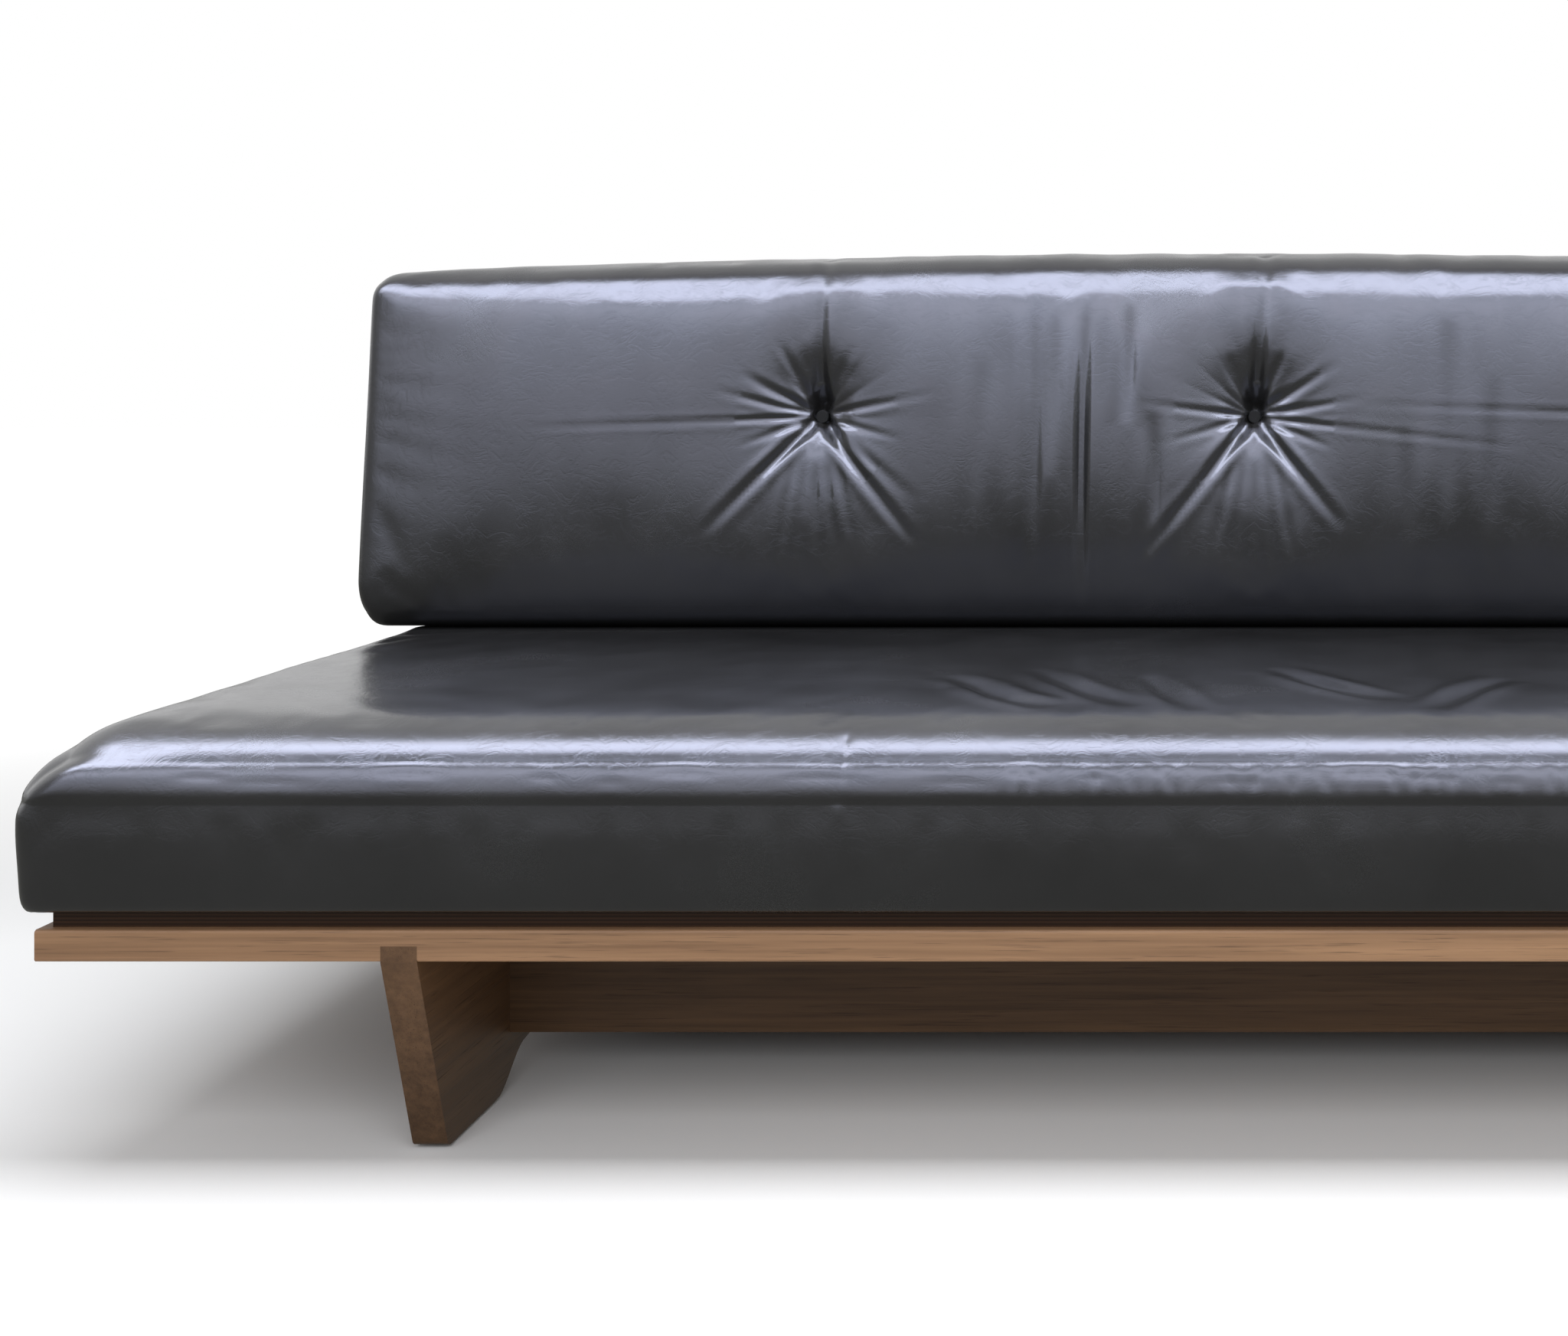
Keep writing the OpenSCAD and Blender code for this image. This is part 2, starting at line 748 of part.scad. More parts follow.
// Section of the back cushion at x, drawn in by inset, with the given steps on a corner;
// its last two points lie beside the zip
function back_ring(x, inset, steps, fine) = let (
    half = back_l / 2 - inset,
    fr = back_edge_r - inset / 2,
    rr = back_rear_r - inset / 2,
    turn = end_round(x, half, fr),
    y0 = back_front + inset + end_round(x, half, max(1, back_corner_r - inset)),
    y1 = back_front + back_t - inset - end_round(x, half, rr),
    zb = back_z + inset + turn,
    zt = back_z + back_h - inset + back_rise * (1 - pow(x / half, 2)) - turn,
    rows = front_rows(zb + fr, zt - fr, fine),
    zip_y = min(zip_depth, y1 - rr - tape_gap),
    flat_ring = concat(
        quarter(y1 - rr, zb + rr, rr, -90, steps),
        inside([y1, zb + rr], [y1, zt - rr], steps),
        quarter(y1 - rr, zt - rr, rr, 0, steps),
        inside([y1 - rr, zt], [y0 + fr, zt], steps),
        quarter(y0 + fr, zt - fr, fr, 90, steps),
        [for (i = [len(rows) - 1:-1:0]) [y0, rows[i]]],
        quarter(y0 + fr, zb + fr, fr, 180, steps),
        [[zip_y - 2, zb], [zip_y + 2, zb]]
    )
) [for (p = flat_ring) let (
    ahead = max(0, (y0 + fr - p[0]) / fr),
    swell = back_swell(x, (2 * p[1] - zb - zt) / (zt - zb)),
    pulled = tuft_hollow(x, p[1])
) [x, p[0] + (p[1] - back_z) * tan(lean) + ahead * (pulled - swell), p[1]]];

// Places of the rings of the back cushion's skin and of its filling
function back_xs() = mirrored(concat(
    tuft_spots, back_stations,
    [for (i = [3:-1:1]) tuft_x - tuft_spots[i]], [for (s = tuft_spots) tuft_x + s],
    back_outer_stations, fine_end(back_l / 2, back_edge_r)
));

function back_filling_xs(inset) = let (near = tuft_spots[2]) mirrored(concat(
    [0, near, tuft_x - near, tuft_x, tuft_x + near],
    end_steps(back_l / 2 - inset, back_edge_r, 1)
));

function back_filling(inset) = [for (x = back_filling_xs(inset)) back_ring(x, inset, 1, false)];

// Runs the children where a tuft's cord leaves the cushion's rear, with +Z to the rear
module at_each_tuft(tilt = 0) {
    for (x = [-tuft_x, 0, tuft_x])
        translate([x, tuft_rear, tuft_height]) rotate([-90 - tilt, 0, 0]) children();
}

module back_cover() {
    rings = [for (x = back_xs()) back_ring(x, 0, 2, true)];
    filling = back_filling(wrap_t);
    color(leather) placed() slit_shell(
        rings, back_xs(), len(rings[0]) - 2,
        filling, back_filling_xs(wrap_t), len(filling[0]) - 2
    );
}

module back_core() {
    color(foam) placed() solid_loft(back_filling(wrap_t + soft_gap));
}

// A button lies as deep in its tuft as its edge allows
module tuft_buttons() {
    color(leather) placed() at_each_tuft() translate([0, 0, button_at - button_t]) {
        cylinder(h = button_edge, r1 = button_r - button_edge, r2 = button_r);
        translate([0, 0, button_edge]) cylinder(h = button_t - button_edge, r = button_r);
    }
}

module tuft_cords() {
    color(black) placed() at_each_tuft() translate([0, 0, button_at]) cylinder(h = -button_at, r = cord_r);
}

module tuft_washers() {
    color(black) placed() at_each_tuft(lean) translate([0, 0, soft_gap]) cylinder(h = washer_t, r = washer_r);
}

// Zip tape with its closed chain, on a surface that faces +Y at y = 0
module zip_tape() {
    chain_l = zip_l - 2 * tape_end;
    translate([-zip_l / 2, soft_gap, -tape_w / 2]) cube([zip_l, tape_t, tape_w]);
    translate([-chain_l / 2, soft_gap + tape_t, -chain_w / 2]) cube([chain_l, chain_t, chain_w]);
}

module at_closed_end() {
    translate([zip_l / 2 - 2 * tape_end, soft_gap + tape_t, 0]) children();
}

// Slider that runs over the chain, with two ears for its pull
module zip_slider() {
    at_closed_end() difference() {
        union() {
            translate([-slider_l / 2, soft_gap, -slider_w / 2]) cube([slider_l, slider_t, slider_w]);
            for (x = [-ear_x, ear_x - ear_t])
                translate([x, slider_t, -ear_h / 2]) cube([ear_t, ear_h, ear_h]);
        }
        chain_channel();
        translate([0, pivot_y, 0]) rod_x(-slider_l / 2, slider_l / 2, pivot_r + pivot_gap);
    }
}

module chain_channel() {
    size = [slider_l + 2, chain_t + 2 * soft_gap, chain_w + 2 * soft_gap];
    translate([-size[0] / 2, 0, -size[2] / 2]) cube(size);
}

// Pull that hangs along -Z from the slider's ears, turned by the given angle
module zip_pull(turn) {
    at_closed_end() translate([0, pivot_y, 0]) rotate([turn, 0, 0]) {
        rod_x(-ear_x, ear_x, pivot_r);
        translate([-neck_w / 2, -pull_t / 2, -pull_neck]) cube([neck_w, pull_t, pull_neck + 1]);
        translate([-pull_w / 2, -pull_t / 2, -pull_l]) cube([pull_w, pull_t, pull_l - pull_neck]);
    }
}

module on_seat_rear() {
    translate([0, seat_d - seat_over, zip_height]) children();
}

module under_back_cushion() {
    translate([0, zip_depth, back_z]) rotate([-90, 0, 0]) children();
}

module seat_zip_tape() {
    color(black) placed() on_seat_rear() zip_tape();
}

module seat_zip_slider() {
    color(steel) placed() on_seat_rear() zip_slider();
}

module seat_zip_pull() {
    color(steel) placed() on_seat_rear() zip_pull(0);
}

module back_zip_tape() {
    color(black) placed() under_back_cushion() zip_tape();
}

module back_zip_slider() {
    color(steel) placed() under_back_cushion() zip_slider();
}

module back_zip_pull() {
    color(steel) placed() under_back_cushion() zip_pull(90);
}

front_rail();
rear_rail();
left_end_rail();
right_end_rail();
left_bearer();
centre_bearer();
right_bearer();
deck_panel();
left_leg_board();
right_leg_board();
front_beam();
rear_beam();
foot_glides();
left_back_post();
right_back_post();
lower_back_slat();
middle_back_slat();
upper_back_slat();
frame_dowels();
beam_bolts();
barrel_nuts();
post_bolts();
post_nuts();
leg_screws();
deck_screws();
slat_screws();
seat_cover();
seat_core();
seat_zip_tape();
seat_zip_slider();
seat_zip_pull();
back_cover();
back_core();
back_zip_tape();
back_zip_slider();
back_zip_pull();
tuft_cords();
tuft_buttons();
tuft_washers();
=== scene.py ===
# %% [markdown]
# Long leather sofa
#
# The sofa is a low wooden platform on two plank legs, with one bench cushion and one long
# tufted back cushion in black leather. Its hard parts come from the CAD model, already in
# their places. This notebook gives them wood, steel and fabric finishes, and it makes the
# two leather covers anew, because leather over foam is soft: it swells, creases and pulls in
# at its seams, and a CAD solid does none of that.

import math

import bpy
import numpy as np
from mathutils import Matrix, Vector, noise


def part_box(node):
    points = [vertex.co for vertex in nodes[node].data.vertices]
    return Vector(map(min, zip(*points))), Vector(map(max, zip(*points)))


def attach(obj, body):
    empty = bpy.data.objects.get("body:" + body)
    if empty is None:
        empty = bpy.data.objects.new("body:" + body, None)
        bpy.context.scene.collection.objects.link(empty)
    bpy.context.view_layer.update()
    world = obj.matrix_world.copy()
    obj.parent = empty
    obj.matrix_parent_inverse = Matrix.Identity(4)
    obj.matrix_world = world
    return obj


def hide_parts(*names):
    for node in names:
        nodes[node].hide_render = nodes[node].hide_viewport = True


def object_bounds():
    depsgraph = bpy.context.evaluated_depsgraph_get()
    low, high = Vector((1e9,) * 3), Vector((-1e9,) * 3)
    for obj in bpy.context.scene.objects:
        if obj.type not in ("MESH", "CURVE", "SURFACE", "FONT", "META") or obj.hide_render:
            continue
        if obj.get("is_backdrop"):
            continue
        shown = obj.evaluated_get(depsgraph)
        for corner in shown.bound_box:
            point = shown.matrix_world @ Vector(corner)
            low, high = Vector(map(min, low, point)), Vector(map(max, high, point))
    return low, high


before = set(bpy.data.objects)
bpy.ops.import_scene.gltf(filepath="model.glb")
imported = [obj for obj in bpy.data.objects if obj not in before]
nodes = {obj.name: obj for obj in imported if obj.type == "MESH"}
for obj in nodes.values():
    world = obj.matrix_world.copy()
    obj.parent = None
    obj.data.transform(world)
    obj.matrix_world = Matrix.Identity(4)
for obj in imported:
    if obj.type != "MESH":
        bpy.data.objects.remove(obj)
cad_low, cad_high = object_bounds()
print("CAD box", [round(v, 3) for v in (*cad_low, *cad_high)])

# %% [markdown]
# The camera
#
# The photograph was taken level and straight from the front, from the middle of the sofa,
# and then cut down to its left half. A level camera keeps the rail horizontal and the legs
# upright, and lens shift slides the picture to the left half, as cutting it down did. The
# picture here takes in a little more of the right half than the photograph does. That keeps
# the shift small, so the sofa also stays in the picture when it is seen from other sides.

# %% Camera
eye = Vector((0, -2.022, 0.707))
camera = bpy.data.objects.new("camera", bpy.data.cameras.new("camera"))
bpy.context.scene.collection.objects.link(camera)
bpy.context.scene.camera = camera
camera.location = eye
camera.rotation_euler = (math.radians(90), 0, 0)
camera.data.lens = 42.1
camera.data.shift_x = -0.30
camera.data.shift_y = -0.19
bpy.context.scene.view_settings.view_transform = "Standard"
print("camera at", [round(v, 3) for v in eye])

# %% [markdown]
# Shader maths
#
# A material in Blender is a tree of nodes. Writing one node at a time hides the idea, so a
# small class wraps a socket, and ordinary sums on it add the Math nodes.

# %% Sockets that can be added and multiplied
class Wire:
    """An output socket of a finish; sums on it add Math nodes."""

    def __init__(self, finish, socket):
        self.finish = finish
        self.socket = socket

    def math(self, operation, first, second):
        return self.finish.add("ShaderNodeMath", {"operation": operation}, [first, second])

    def __add__(self, other):
        return self.math("ADD", self, other)

    def __sub__(self, other):
        return self.math("SUBTRACT", self, other)

    def __mul__(self, other):
        return self.math("MULTIPLY", self, other)

    __radd__ = __add__


class Finish:
    """A material in the making, with one method that adds any node."""

    def __init__(self, name, **fixed):
        self.material = bpy.data.materials.new(name)
        self.material.use_nodes = True
        self.tree = self.material.node_tree
        self.shader = self.tree.nodes["Principled BSDF"]
        self.shade(**fixed)

    def add(self, kind, settings=None, values=(), output=0):
        """Adds a node: its settings first, then the values or links of its sockets."""
        node = self.tree.nodes.new(kind)
        for key, value in (settings or {}).items():
            if key == "stops":
                self.set_stops(node.color_ramp, value)
            else:
                setattr(node, key, value)
        pairs = values.items() if isinstance(values, dict) else enumerate(values)
        for key, value in pairs:
            self.put(node.inputs[key], value)
        return Wire(self, node.outputs[output])

    def set_stops(self, ramp, stops):
        while len(ramp.elements) < len(stops):
            ramp.elements.new(0.5)
        for element, (place, color) in zip(ramp.elements, stops):
            element.position = place
            element.color = (*color, 1)

    def put(self, socket, value):
        """Links a wire to a socket, or gives it a value; a colour needs no alpha."""
        if isinstance(value, Wire):
            self.tree.links.new(value.socket, socket)
        elif socket.type == "RGBA" and len(value) == 3:
            socket.default_value = (*value, 1)
        else:
            socket.default_value = value

    def shade(self, **inputs):
        """Sets or links inputs of the finish's main shader."""
        for name, value in inputs.items():
            self.put(self.shader.inputs[name.replace("_", " ")], value)

    def place(self, scale=(1, 1, 1), offset=(0, 0, 0), turn=(0, 0, 0)):
        """Object coordinates, stretched, moved and turned."""
        spot = self.add("ShaderNodeTexCoord", output="Object")
        values = {"Vector": spot, "Scale": scale, "Location": offset, "Rotation": turn}
        return self.add("ShaderNodeMapping", None, values)

    def noise(self, at, scale, detail, roughness=0.5, distortion=0.0):
        values = {"Vector": at, "Scale": scale, "Detail": detail, "Roughness": roughness,
                  "Distortion": distortion}
        return self.add("ShaderNodeTexNoise", None, values, "Fac")

    def ramp(self, amount, *stops):
        return self.add("ShaderNodeValToRGB", {"stops": stops}, [amount], "Color")

    def steps(self, amount, low, high, to_low=0.0, to_high=1.0):
        """Amount, taken from low..high to to_low..to_high and held there."""
        return self.add("ShaderNodeMapRange", None, [amount, low, high, to_low, to_high])

    def mix(self, factor, first, second):
        """Two colours mixed. On the Mix node they are sockets 6 and 7, and the result is output 2."""
        return self.add("ShaderNodeMix", {"data_type": "RGBA"}, {0: factor, 6: first, 7: second}, 2)

    def overlay(self, factor, shader):
        """Covers the finish's main shader with another one as far as the factor says."""
        main = Wire(self, self.shader.outputs[0])
        both = self.add("ShaderNodeMixShader", None, [factor, main, shader])
        self.put(self.tree.nodes["Material Output"].inputs["Surface"], both)

    def bump(self, height, strength, distance, below=None):
        values = {"Height": height, "Strength": strength, "Distance": distance}
        if below:
            values["Normal"] = below
        return self.add("ShaderNodeBump", None, values, "Normal")


print("shader helpers ready")

# %% [markdown]
# Oiled wood
#
# The rails and legs are planed walnut with an oil finish. Wood has long fibres, so every
# part of its pattern is stretched along the board: broad colour bands where growth rings are
# cut, fine dark pores, and a slight shine that breaks along the pores. Each board is cut
# from another place of the tree, so each gets its own offset into the pattern, and its
# pattern is turned to run along it. The legs and the beams get far darker copies of the
# walnut colour: painted shade, for the shade they stand in under the rail and the platform.

# %% Wood
def stretched(along, share):
    """A scale that draws a pattern out along one axis."""
    return tuple(share if axis == along else 1.0 for axis in range(3))


def wood_finish(name, light, dark, along, start):
    """Wood with its grain along the axis `along`, from its own place in the tree."""
    made = Finish(name, Specular_IOR_Level=0.35)
    smoothest = 0.42
    fibres = stretched(along, 0.016)
    board = made.place(stretched(along, 0.05), (start, start * 0.7, start * 1.3))
    wavy = made.noise(board, 7.0, 3.0, 0.55, 0.6)
    rings = made.noise(board, 42.0, 4.0, 0.6, 0.9)
    pores = made.noise(made.place(fibres, (start, start, start)), 900.0, 2.0, 0.6)
    streaks = made.noise(made.place(fibres, (start, 0, start)), 190.0, 3.0, 0.6)
    tone = wavy * 0.45 + rings * 0.35 + streaks * 0.35
    middle = tuple((a + b) / 2 for a, b in zip(light, dark))
    color = made.ramp(tone, (0.36, dark), (0.55, middle), (0.74, light))
    pore_mask = made.steps(pores, 0.60, 0.70)
    deep = tuple(v * 0.45 for v in dark)
    made.shade(Base_Color=made.mix(pore_mask * 0.55, color, deep))
    made.shade(Roughness=smoothest + streaks * 0.14 + pore_mask * 0.12)
    made.shade(Normal=made.bump(streaks * 0.3 - pore_mask * 0.5, 0.25, 0.0006))
    return made.material


walnut = ((0.37, 0.21, 0.108), (0.15, 0.078, 0.038))
# Painted shade: the legs' and beams' colours are the walnut's, darkened for the shade under the rail and
# the platform.
leg_wood_in_painted_shade = ((0.125, 0.065, 0.029), (0.040, 0.019, 0.008))
beam_wood_in_painted_shade = ((0.12, 0.062, 0.026), (0.038, 0.018, 0.007))
along_x, along_y, along_z = range(3)
boards = {
    "front_rail": (walnut, along_x),
    "rear_rail": (walnut, along_x),
    "left_end_rail": (walnut, along_y),
    "right_end_rail": (walnut, along_y),
    "left_bearer": (walnut, along_y),
    "centre_bearer": (walnut, along_y),
    "right_bearer": (walnut, along_y),
    "left_leg_board": (leg_wood_in_painted_shade, along_y),
    "right_leg_board": (leg_wood_in_painted_shade, along_y),
    "front_beam": (beam_wood_in_painted_shade, along_x),
    "rear_beam": (beam_wood_in_painted_shade, along_x),
    "left_back_post": (walnut, along_z),
    "right_back_post": (walnut, along_z),
    "lower_back_slat": (walnut, along_x),
    "middle_back_slat": (walnut, along_x),
    "upper_back_slat": (walnut, along_x),
    "frame_dowels": (walnut, along_y),
}
tree_step = 1.7


def dress(node, material):
    """Gives a CAD node its finish and leaves its mesh alone."""
    piece = nodes[node]
    if not piece.data.materials:
        piece.data.materials.append(material)
    for held in piece.material_slots:
        held.material = material


for count, (node, ((light, dark), along)) in enumerate(boards.items()):
    dress(node, wood_finish("wood_" + node, light, dark, along, tree_step * count))
print(len(boards), "boards have wood of their own")

# %% [markdown]
# The deck
#
# The dark strip under the seat cushion is the edge of a plywood deck. Plywood shows its face
# veneer on top and below, and thin plies on its edge, so height decides the pattern: the
# edge gets even bands one ply thick, and the faces get long veneer grain. Its colours are far
# darker than plywood's own, the edge's most: painted shade, for the shade under the seat
# cushion that makes the strip dark.

# %% Plywood
def plywood_finish_in_painted_shade(low, high):
    """Veneer on the faces; on the edges, plies between the heights low and high."""
    made = Finish("plywood", Specular_IOR_Level=0.25)
    veneer = made.noise(made.place((0.06, 1, 1)), 60.0, 4.0, 0.6, 0.5)
    # Painted shade: the veneer colours are darkened for the shade under the cushion.
    face = made.ramp(veneer, (0.35, (0.040, 0.019, 0.010)), (0.7, (0.080, 0.040, 0.022)))
    plies = 9
    spot = made.add("ShaderNodeTexCoord", output="Object")
    split = made.add("ShaderNodeSeparateXYZ", None, [spot], "Z")
    wave = made.add("ShaderNodeMath", {"operation": "SINE"},
                    [(split - low) * (plies * math.pi / (high - low))])
    dark_ply = made.steps(wave + veneer * 0.6, 0.0, 0.5)
    # Painted shade: the ply colours of the edge, seen as the strip above the rail, are darkest.
    edge = made.mix(dark_ply, (0.016, 0.007, 0.003), (0.034, 0.015, 0.006))
    normal = made.add("ShaderNodeNewGeometry", output="Normal")
    facing_up = made.add("ShaderNodeSeparateXYZ", None, [normal], "Z")
    flat = made.add("ShaderNodeMath", {"operation": "ABSOLUTE"}, [facing_up])
    is_face = made.steps(flat, 0.6, 0.8)
    made.shade(Base_Color=made.mix(is_face, edge, face), Roughness=veneer * 0.2 + 0.5)
    made.shade(Normal=made.bump(veneer, 0.2, 0.0006))
    return made.material


deck_low, deck_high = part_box("deck_panel")
dress("deck_panel", plywood_finish_in_painted_shade(deck_low.z, deck_high.z))
print("deck", round((deck_high.z - deck_low.z) * 1000, 1), "mm thick")

# %% [markdown]
# Small hardware
#
# Bolts, nuts and screws are zinc-plated steel: grey, a little blotchy, with fine turning
# marks. Glides and washers are black moulded plastic with a faint spark texture. The zip
# tape and the tuft cords are woven, so a fine checked bump stands for their threads.

# %% Steel, plastic and woven tape
def steel_finish():
    made = Finish("zinc_steel", Metallic=1.0)
    blotch = made.noise(made.place(), 240.0, 3.0, 0.6)
    marks = made.noise(made.place((1, 14, 14)), 700.0, 2.0, 0.5)
    color = made.ramp(blotch, (0.3, (0.40, 0.41, 0.42)), (0.75, (0.60, 0.61, 0.62)))
    made.shade(Base_Color=color)
    made.shade(Roughness=blotch * 0.2 + marks * 0.12 + 0.2)
    made.shade(Normal=made.bump(marks, 0.15, 0.0002))
    return made.material


def plastic_finish():
    made = Finish("black_plastic", Specular_IOR_Level=0.4)
    spark = made.noise(made.place(), 1800.0, 2.0, 0.5)
    cloud = made.noise(made.place(), 60.0, 2.0, 0.5)
    color = made.ramp(cloud, (0.3, (0.012, 0.012, 0.013)), (0.7, (0.022, 0.022, 0.024)))
    made.shade(Base_Color=color)
    made.shade(Roughness=spark * 0.2 + 0.42, Normal=made.bump(spark, 0.2, 0.0003))
    return made.material


def woven_finish(name, dark, light):
    """Threads that cross each other, one every 2.4 mm each way."""
    made = Finish(name, Specular_IOR_Level=0.2)
    thread = 2600.0
    spot = made.add("ShaderNodeTexCoord", output="Object")
    across = [made.add("ShaderNodeSeparateXYZ", None, [spot], axis) for axis in "XYZ"]
    waves = [made.add("ShaderNodeMath", {"operation": "SINE"}, [a * thread]) for a in across]
    weave = waves[0] * waves[2] + waves[1] * 0.4
    cloud = made.noise(made.place(), 90.0, 2.0, 0.5)
    tone = made.steps(weave * 0.3 + cloud, 0.2, 0.9)
    made.shade(Base_Color=made.mix(tone, dark, light), Roughness=cloud * 0.15 + 0.75)
    made.shade(Normal=made.bump(weave, 0.4, 0.0003))
    return made.material


steel = steel_finish()
plastic = plastic_finish()
tape = woven_finish("woven_tape", (0.008, 0.008, 0.009), (0.022, 0.022, 0.024))
for node in ("beam_bolts", "barrel_nuts", "post_bolts", "post_nuts", "leg_screws", "deck_screws",
             "slat_screws", "seat_zip_slider", "seat_zip_pull", "back_zip_slider", "back_zip_pull"):
    dress(node, steel)
for node in ("foot_glides", "tuft_washers"):
    dress(node, plastic)
for node in ("seat_zip_tape", "back_zip_tape", "tuft_cords"):
    dress(node, tape)
print("hardware dressed")

# %% [markdown]
# Leather
#
# The covers are black cowhide with a thin, fairly glossy finish. Three things make it read
# as leather: a pebbled grain well under a millimetre deep, fine creases from use, and a
# shine that changes from place to place. The body colour is almost black, so nearly all of
# the light comes from the shine, and a thin coat makes that stronger in some places than in
# others. Deep in the crevice between the two cushions the hide is given a darker colour and
# almost no shine: painted shade for the crevice.

# %% Leather
crevice_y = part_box("back_core")[0][1]
crevice_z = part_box("back_cover")[0][2]


def in_crevice(made):
    """Mask of the painted crevice shade: 0 where the hide is free and nearly 1 deep between the cushions.
    """
    axes = made.add("ShaderNodeSeparateXYZ", None, [made.place()]).socket.node.outputs
    depth_in = made.steps(Wire(made, axes["Y"]), crevice_y - 0.10, crevice_y + 0.03)
    near_foot = made.steps(Wire(made, axes["Z"]), crevice_z + 0.01, crevice_z + 0.085, 0.9, 0.0)
    return depth_in * near_foot


def leather_finish():
    made = Finish("black_leather", Specular_IOR_Level=0.9, Specular_Tint=(0.9, 0.92, 1.0),
                  Coat_Roughness=0.22, Coat_IOR=1.5)
    cloud = made.noise(made.place(), 5.0, 3.0, 0.55, 0.3)
    grain = made.add("ShaderNodeTexVoronoi", {"feature": "DISTANCE_TO_EDGE"},
                     {"Vector": made.place(), "Scale": 420.0}, "Distance")
    pebble = made.steps(grain, 0.0, 0.22)
    crease = made.noise(made.place(), 34.0, 5.0, 0.62, 1.2)
    ridge = made.add("ShaderNodeMath", {"operation": "ABSOLUTE"}, [crease - 0.5])
    fine_crease = made.steps(ridge, 0.0, 0.045)
    color = made.ramp(cloud, (0.3, (0.0085, 0.0082, 0.0076)), (0.7, (0.0125, 0.0122, 0.0115)))
    made.shade(Base_Color=color)
    made.shade(Roughness=cloud * 0.17 + 0.17 - pebble * 0.02)
    made.shade(Coat_Weight=cloud * 0.4)
    low = made.bump(fine_crease, 0.14, 0.0005)
    made.shade(Normal=made.bump(pebble, 0.12, 0.00015, low))
    # Painted shade: deep in the crevice a darker, nearly shineless shader covers the hide.
    crevice_painted_shade = {"Base Color": (0.006, 0.006, 0.006), "Roughness": 0.6, "Specular IOR Level": 0.15}
    made.overlay(in_crevice(made), made.add("ShaderNodeBsdfPrincipled", None, crevice_painted_shade))
    return made.material


def button_shade_finish():
    """The hide on a button, darker and nearly without shine: painted shade for the tuft's funnel."""
    made = Finish("button_leather_in_painted_shade", Specular_IOR_Level=0.2)
    grain = made.noise(made.place(), 400.0, 2.0, 0.5)
    color = made.ramp(grain, (0.3, (0.004, 0.004, 0.004)), (0.7, (0.008, 0.008, 0.007)))
    made.shade(Base_Color=color)
    made.shade(Roughness=grain * 0.2 + 0.6, Normal=made.bump(grain, 0.3, 0.0003))
    return made.material


def foam_finish():
    made = Finish("upholstery_foam", Specular_IOR_Level=0.1)
    cells = made.add("ShaderNodeTexVoronoi", None,
                     {"Vector": made.place(), "Scale": 700.0}, "Distance")
    cloud = made.noise(made.place(), 12.0, 3.0, 0.5)
    made.shade(Base_Color=made.ramp(cloud, (0.3, (0.66, 0.58, 0.38)), (0.7, (0.74, 0.67, 0.47))))
    made.shade(Roughness=cells * 0.1 + 0.85, Normal=made.bump(cells, 0.5, 0.0008))
    return made.material


leather = leather_finish()
shaded_button_leather = button_shade_finish()
foam = foam_finish()
print("leather and foam ready")

# %% [markdown]
# A block of skin to shape
#
# Both cushions begin as a sewn box cover does, as a plain box of the size that the CAD model
# gives. The box is cut into nearly cubic blocks, and the blocks are subdivided, so all of
# its faces become small squares of one size. Squares of one size matter: a coarse face can't
# hold a crease, and long thin ones make cloth stiff in one direction.

# %% Box with an even skin
def only(piece):
    """Makes a piece the only one selected."""
    bpy.ops.object.select_all(action="DESELECT")
    piece.select_set(True)
    bpy.context.view_layer.objects.active = piece


def skin_block(name, low, high, blocks, cuts):
    """A box from corner low to corner high whose faces are small squares."""
    middle = (Vector(low) + Vector(high)) / 2
    size = Vector(high) - Vector(low)
    bpy.ops.object.select_all(action="DESELECT")
    bpy.ops.mesh.primitive_cube_add(size=1, location=middle, scale=size)
    piece = bpy.context.object
    piece.name = name
    bpy.ops.object.transform_apply(location=True, rotation=True, scale=True)
    bpy.ops.object.mode_set(mode="EDIT")
    for axis, count in enumerate(blocks):
        along = Vector([1 if k == axis else 0 for k in range(3)])
        for i in range(1, count):
            spot = Vector(low) + along * (size[axis] * i / count)
            bpy.ops.mesh.select_all(action="SELECT")
            bpy.ops.mesh.bisect(plane_co=spot, plane_no=along)
    bpy.ops.mesh.select_all(action="SELECT")
    bpy.ops.mesh.subdivide(number_cuts=cuts)
    bpy.ops.object.mode_set(mode="OBJECT")
    print(name, len(piece.data.vertices), "points")
    return piece


def points_of(piece):
    flat = np.empty(len(piece.data.vertices) * 3)
    piece.data.vertices.foreach_get("co", flat)
    return flat.reshape(-1, 3)


def put_points(piece, points):
    piece.data.vertices.foreach_set("co", points.ravel())
    piece.data.update()


# %% Rounding a box
def soften(points, low, high, radii):
    """Rounds a box's edges. radii(points) gives each point its radii along X, Y and Z.

    Past the straight part of each side, a point is moved from the box onto an ellipsoid.
    """
    centre = (np.array(low) + np.array(high)) / 2
    half = (np.array(high) - np.array(low)) / 2
    r = radii(points)
    from_centre = points - centre
    side = np.sign(from_centre)
    straight = half - r
    past = np.clip(np.abs(from_centre) - straight, 0, None) / r
    reach = np.linalg.norm(past, axis=1, keepdims=True)
    inner = np.minimum(np.abs(from_centre), straight)
    return centre + side * (inner + r * past / np.maximum(reach, 1e-9))


def blend(a, b, t):
    """From a to b as t goes from 0 to 1, and held there."""
    return a + (b - a) * np.clip(t, 0, 1)


print("rounding ready")

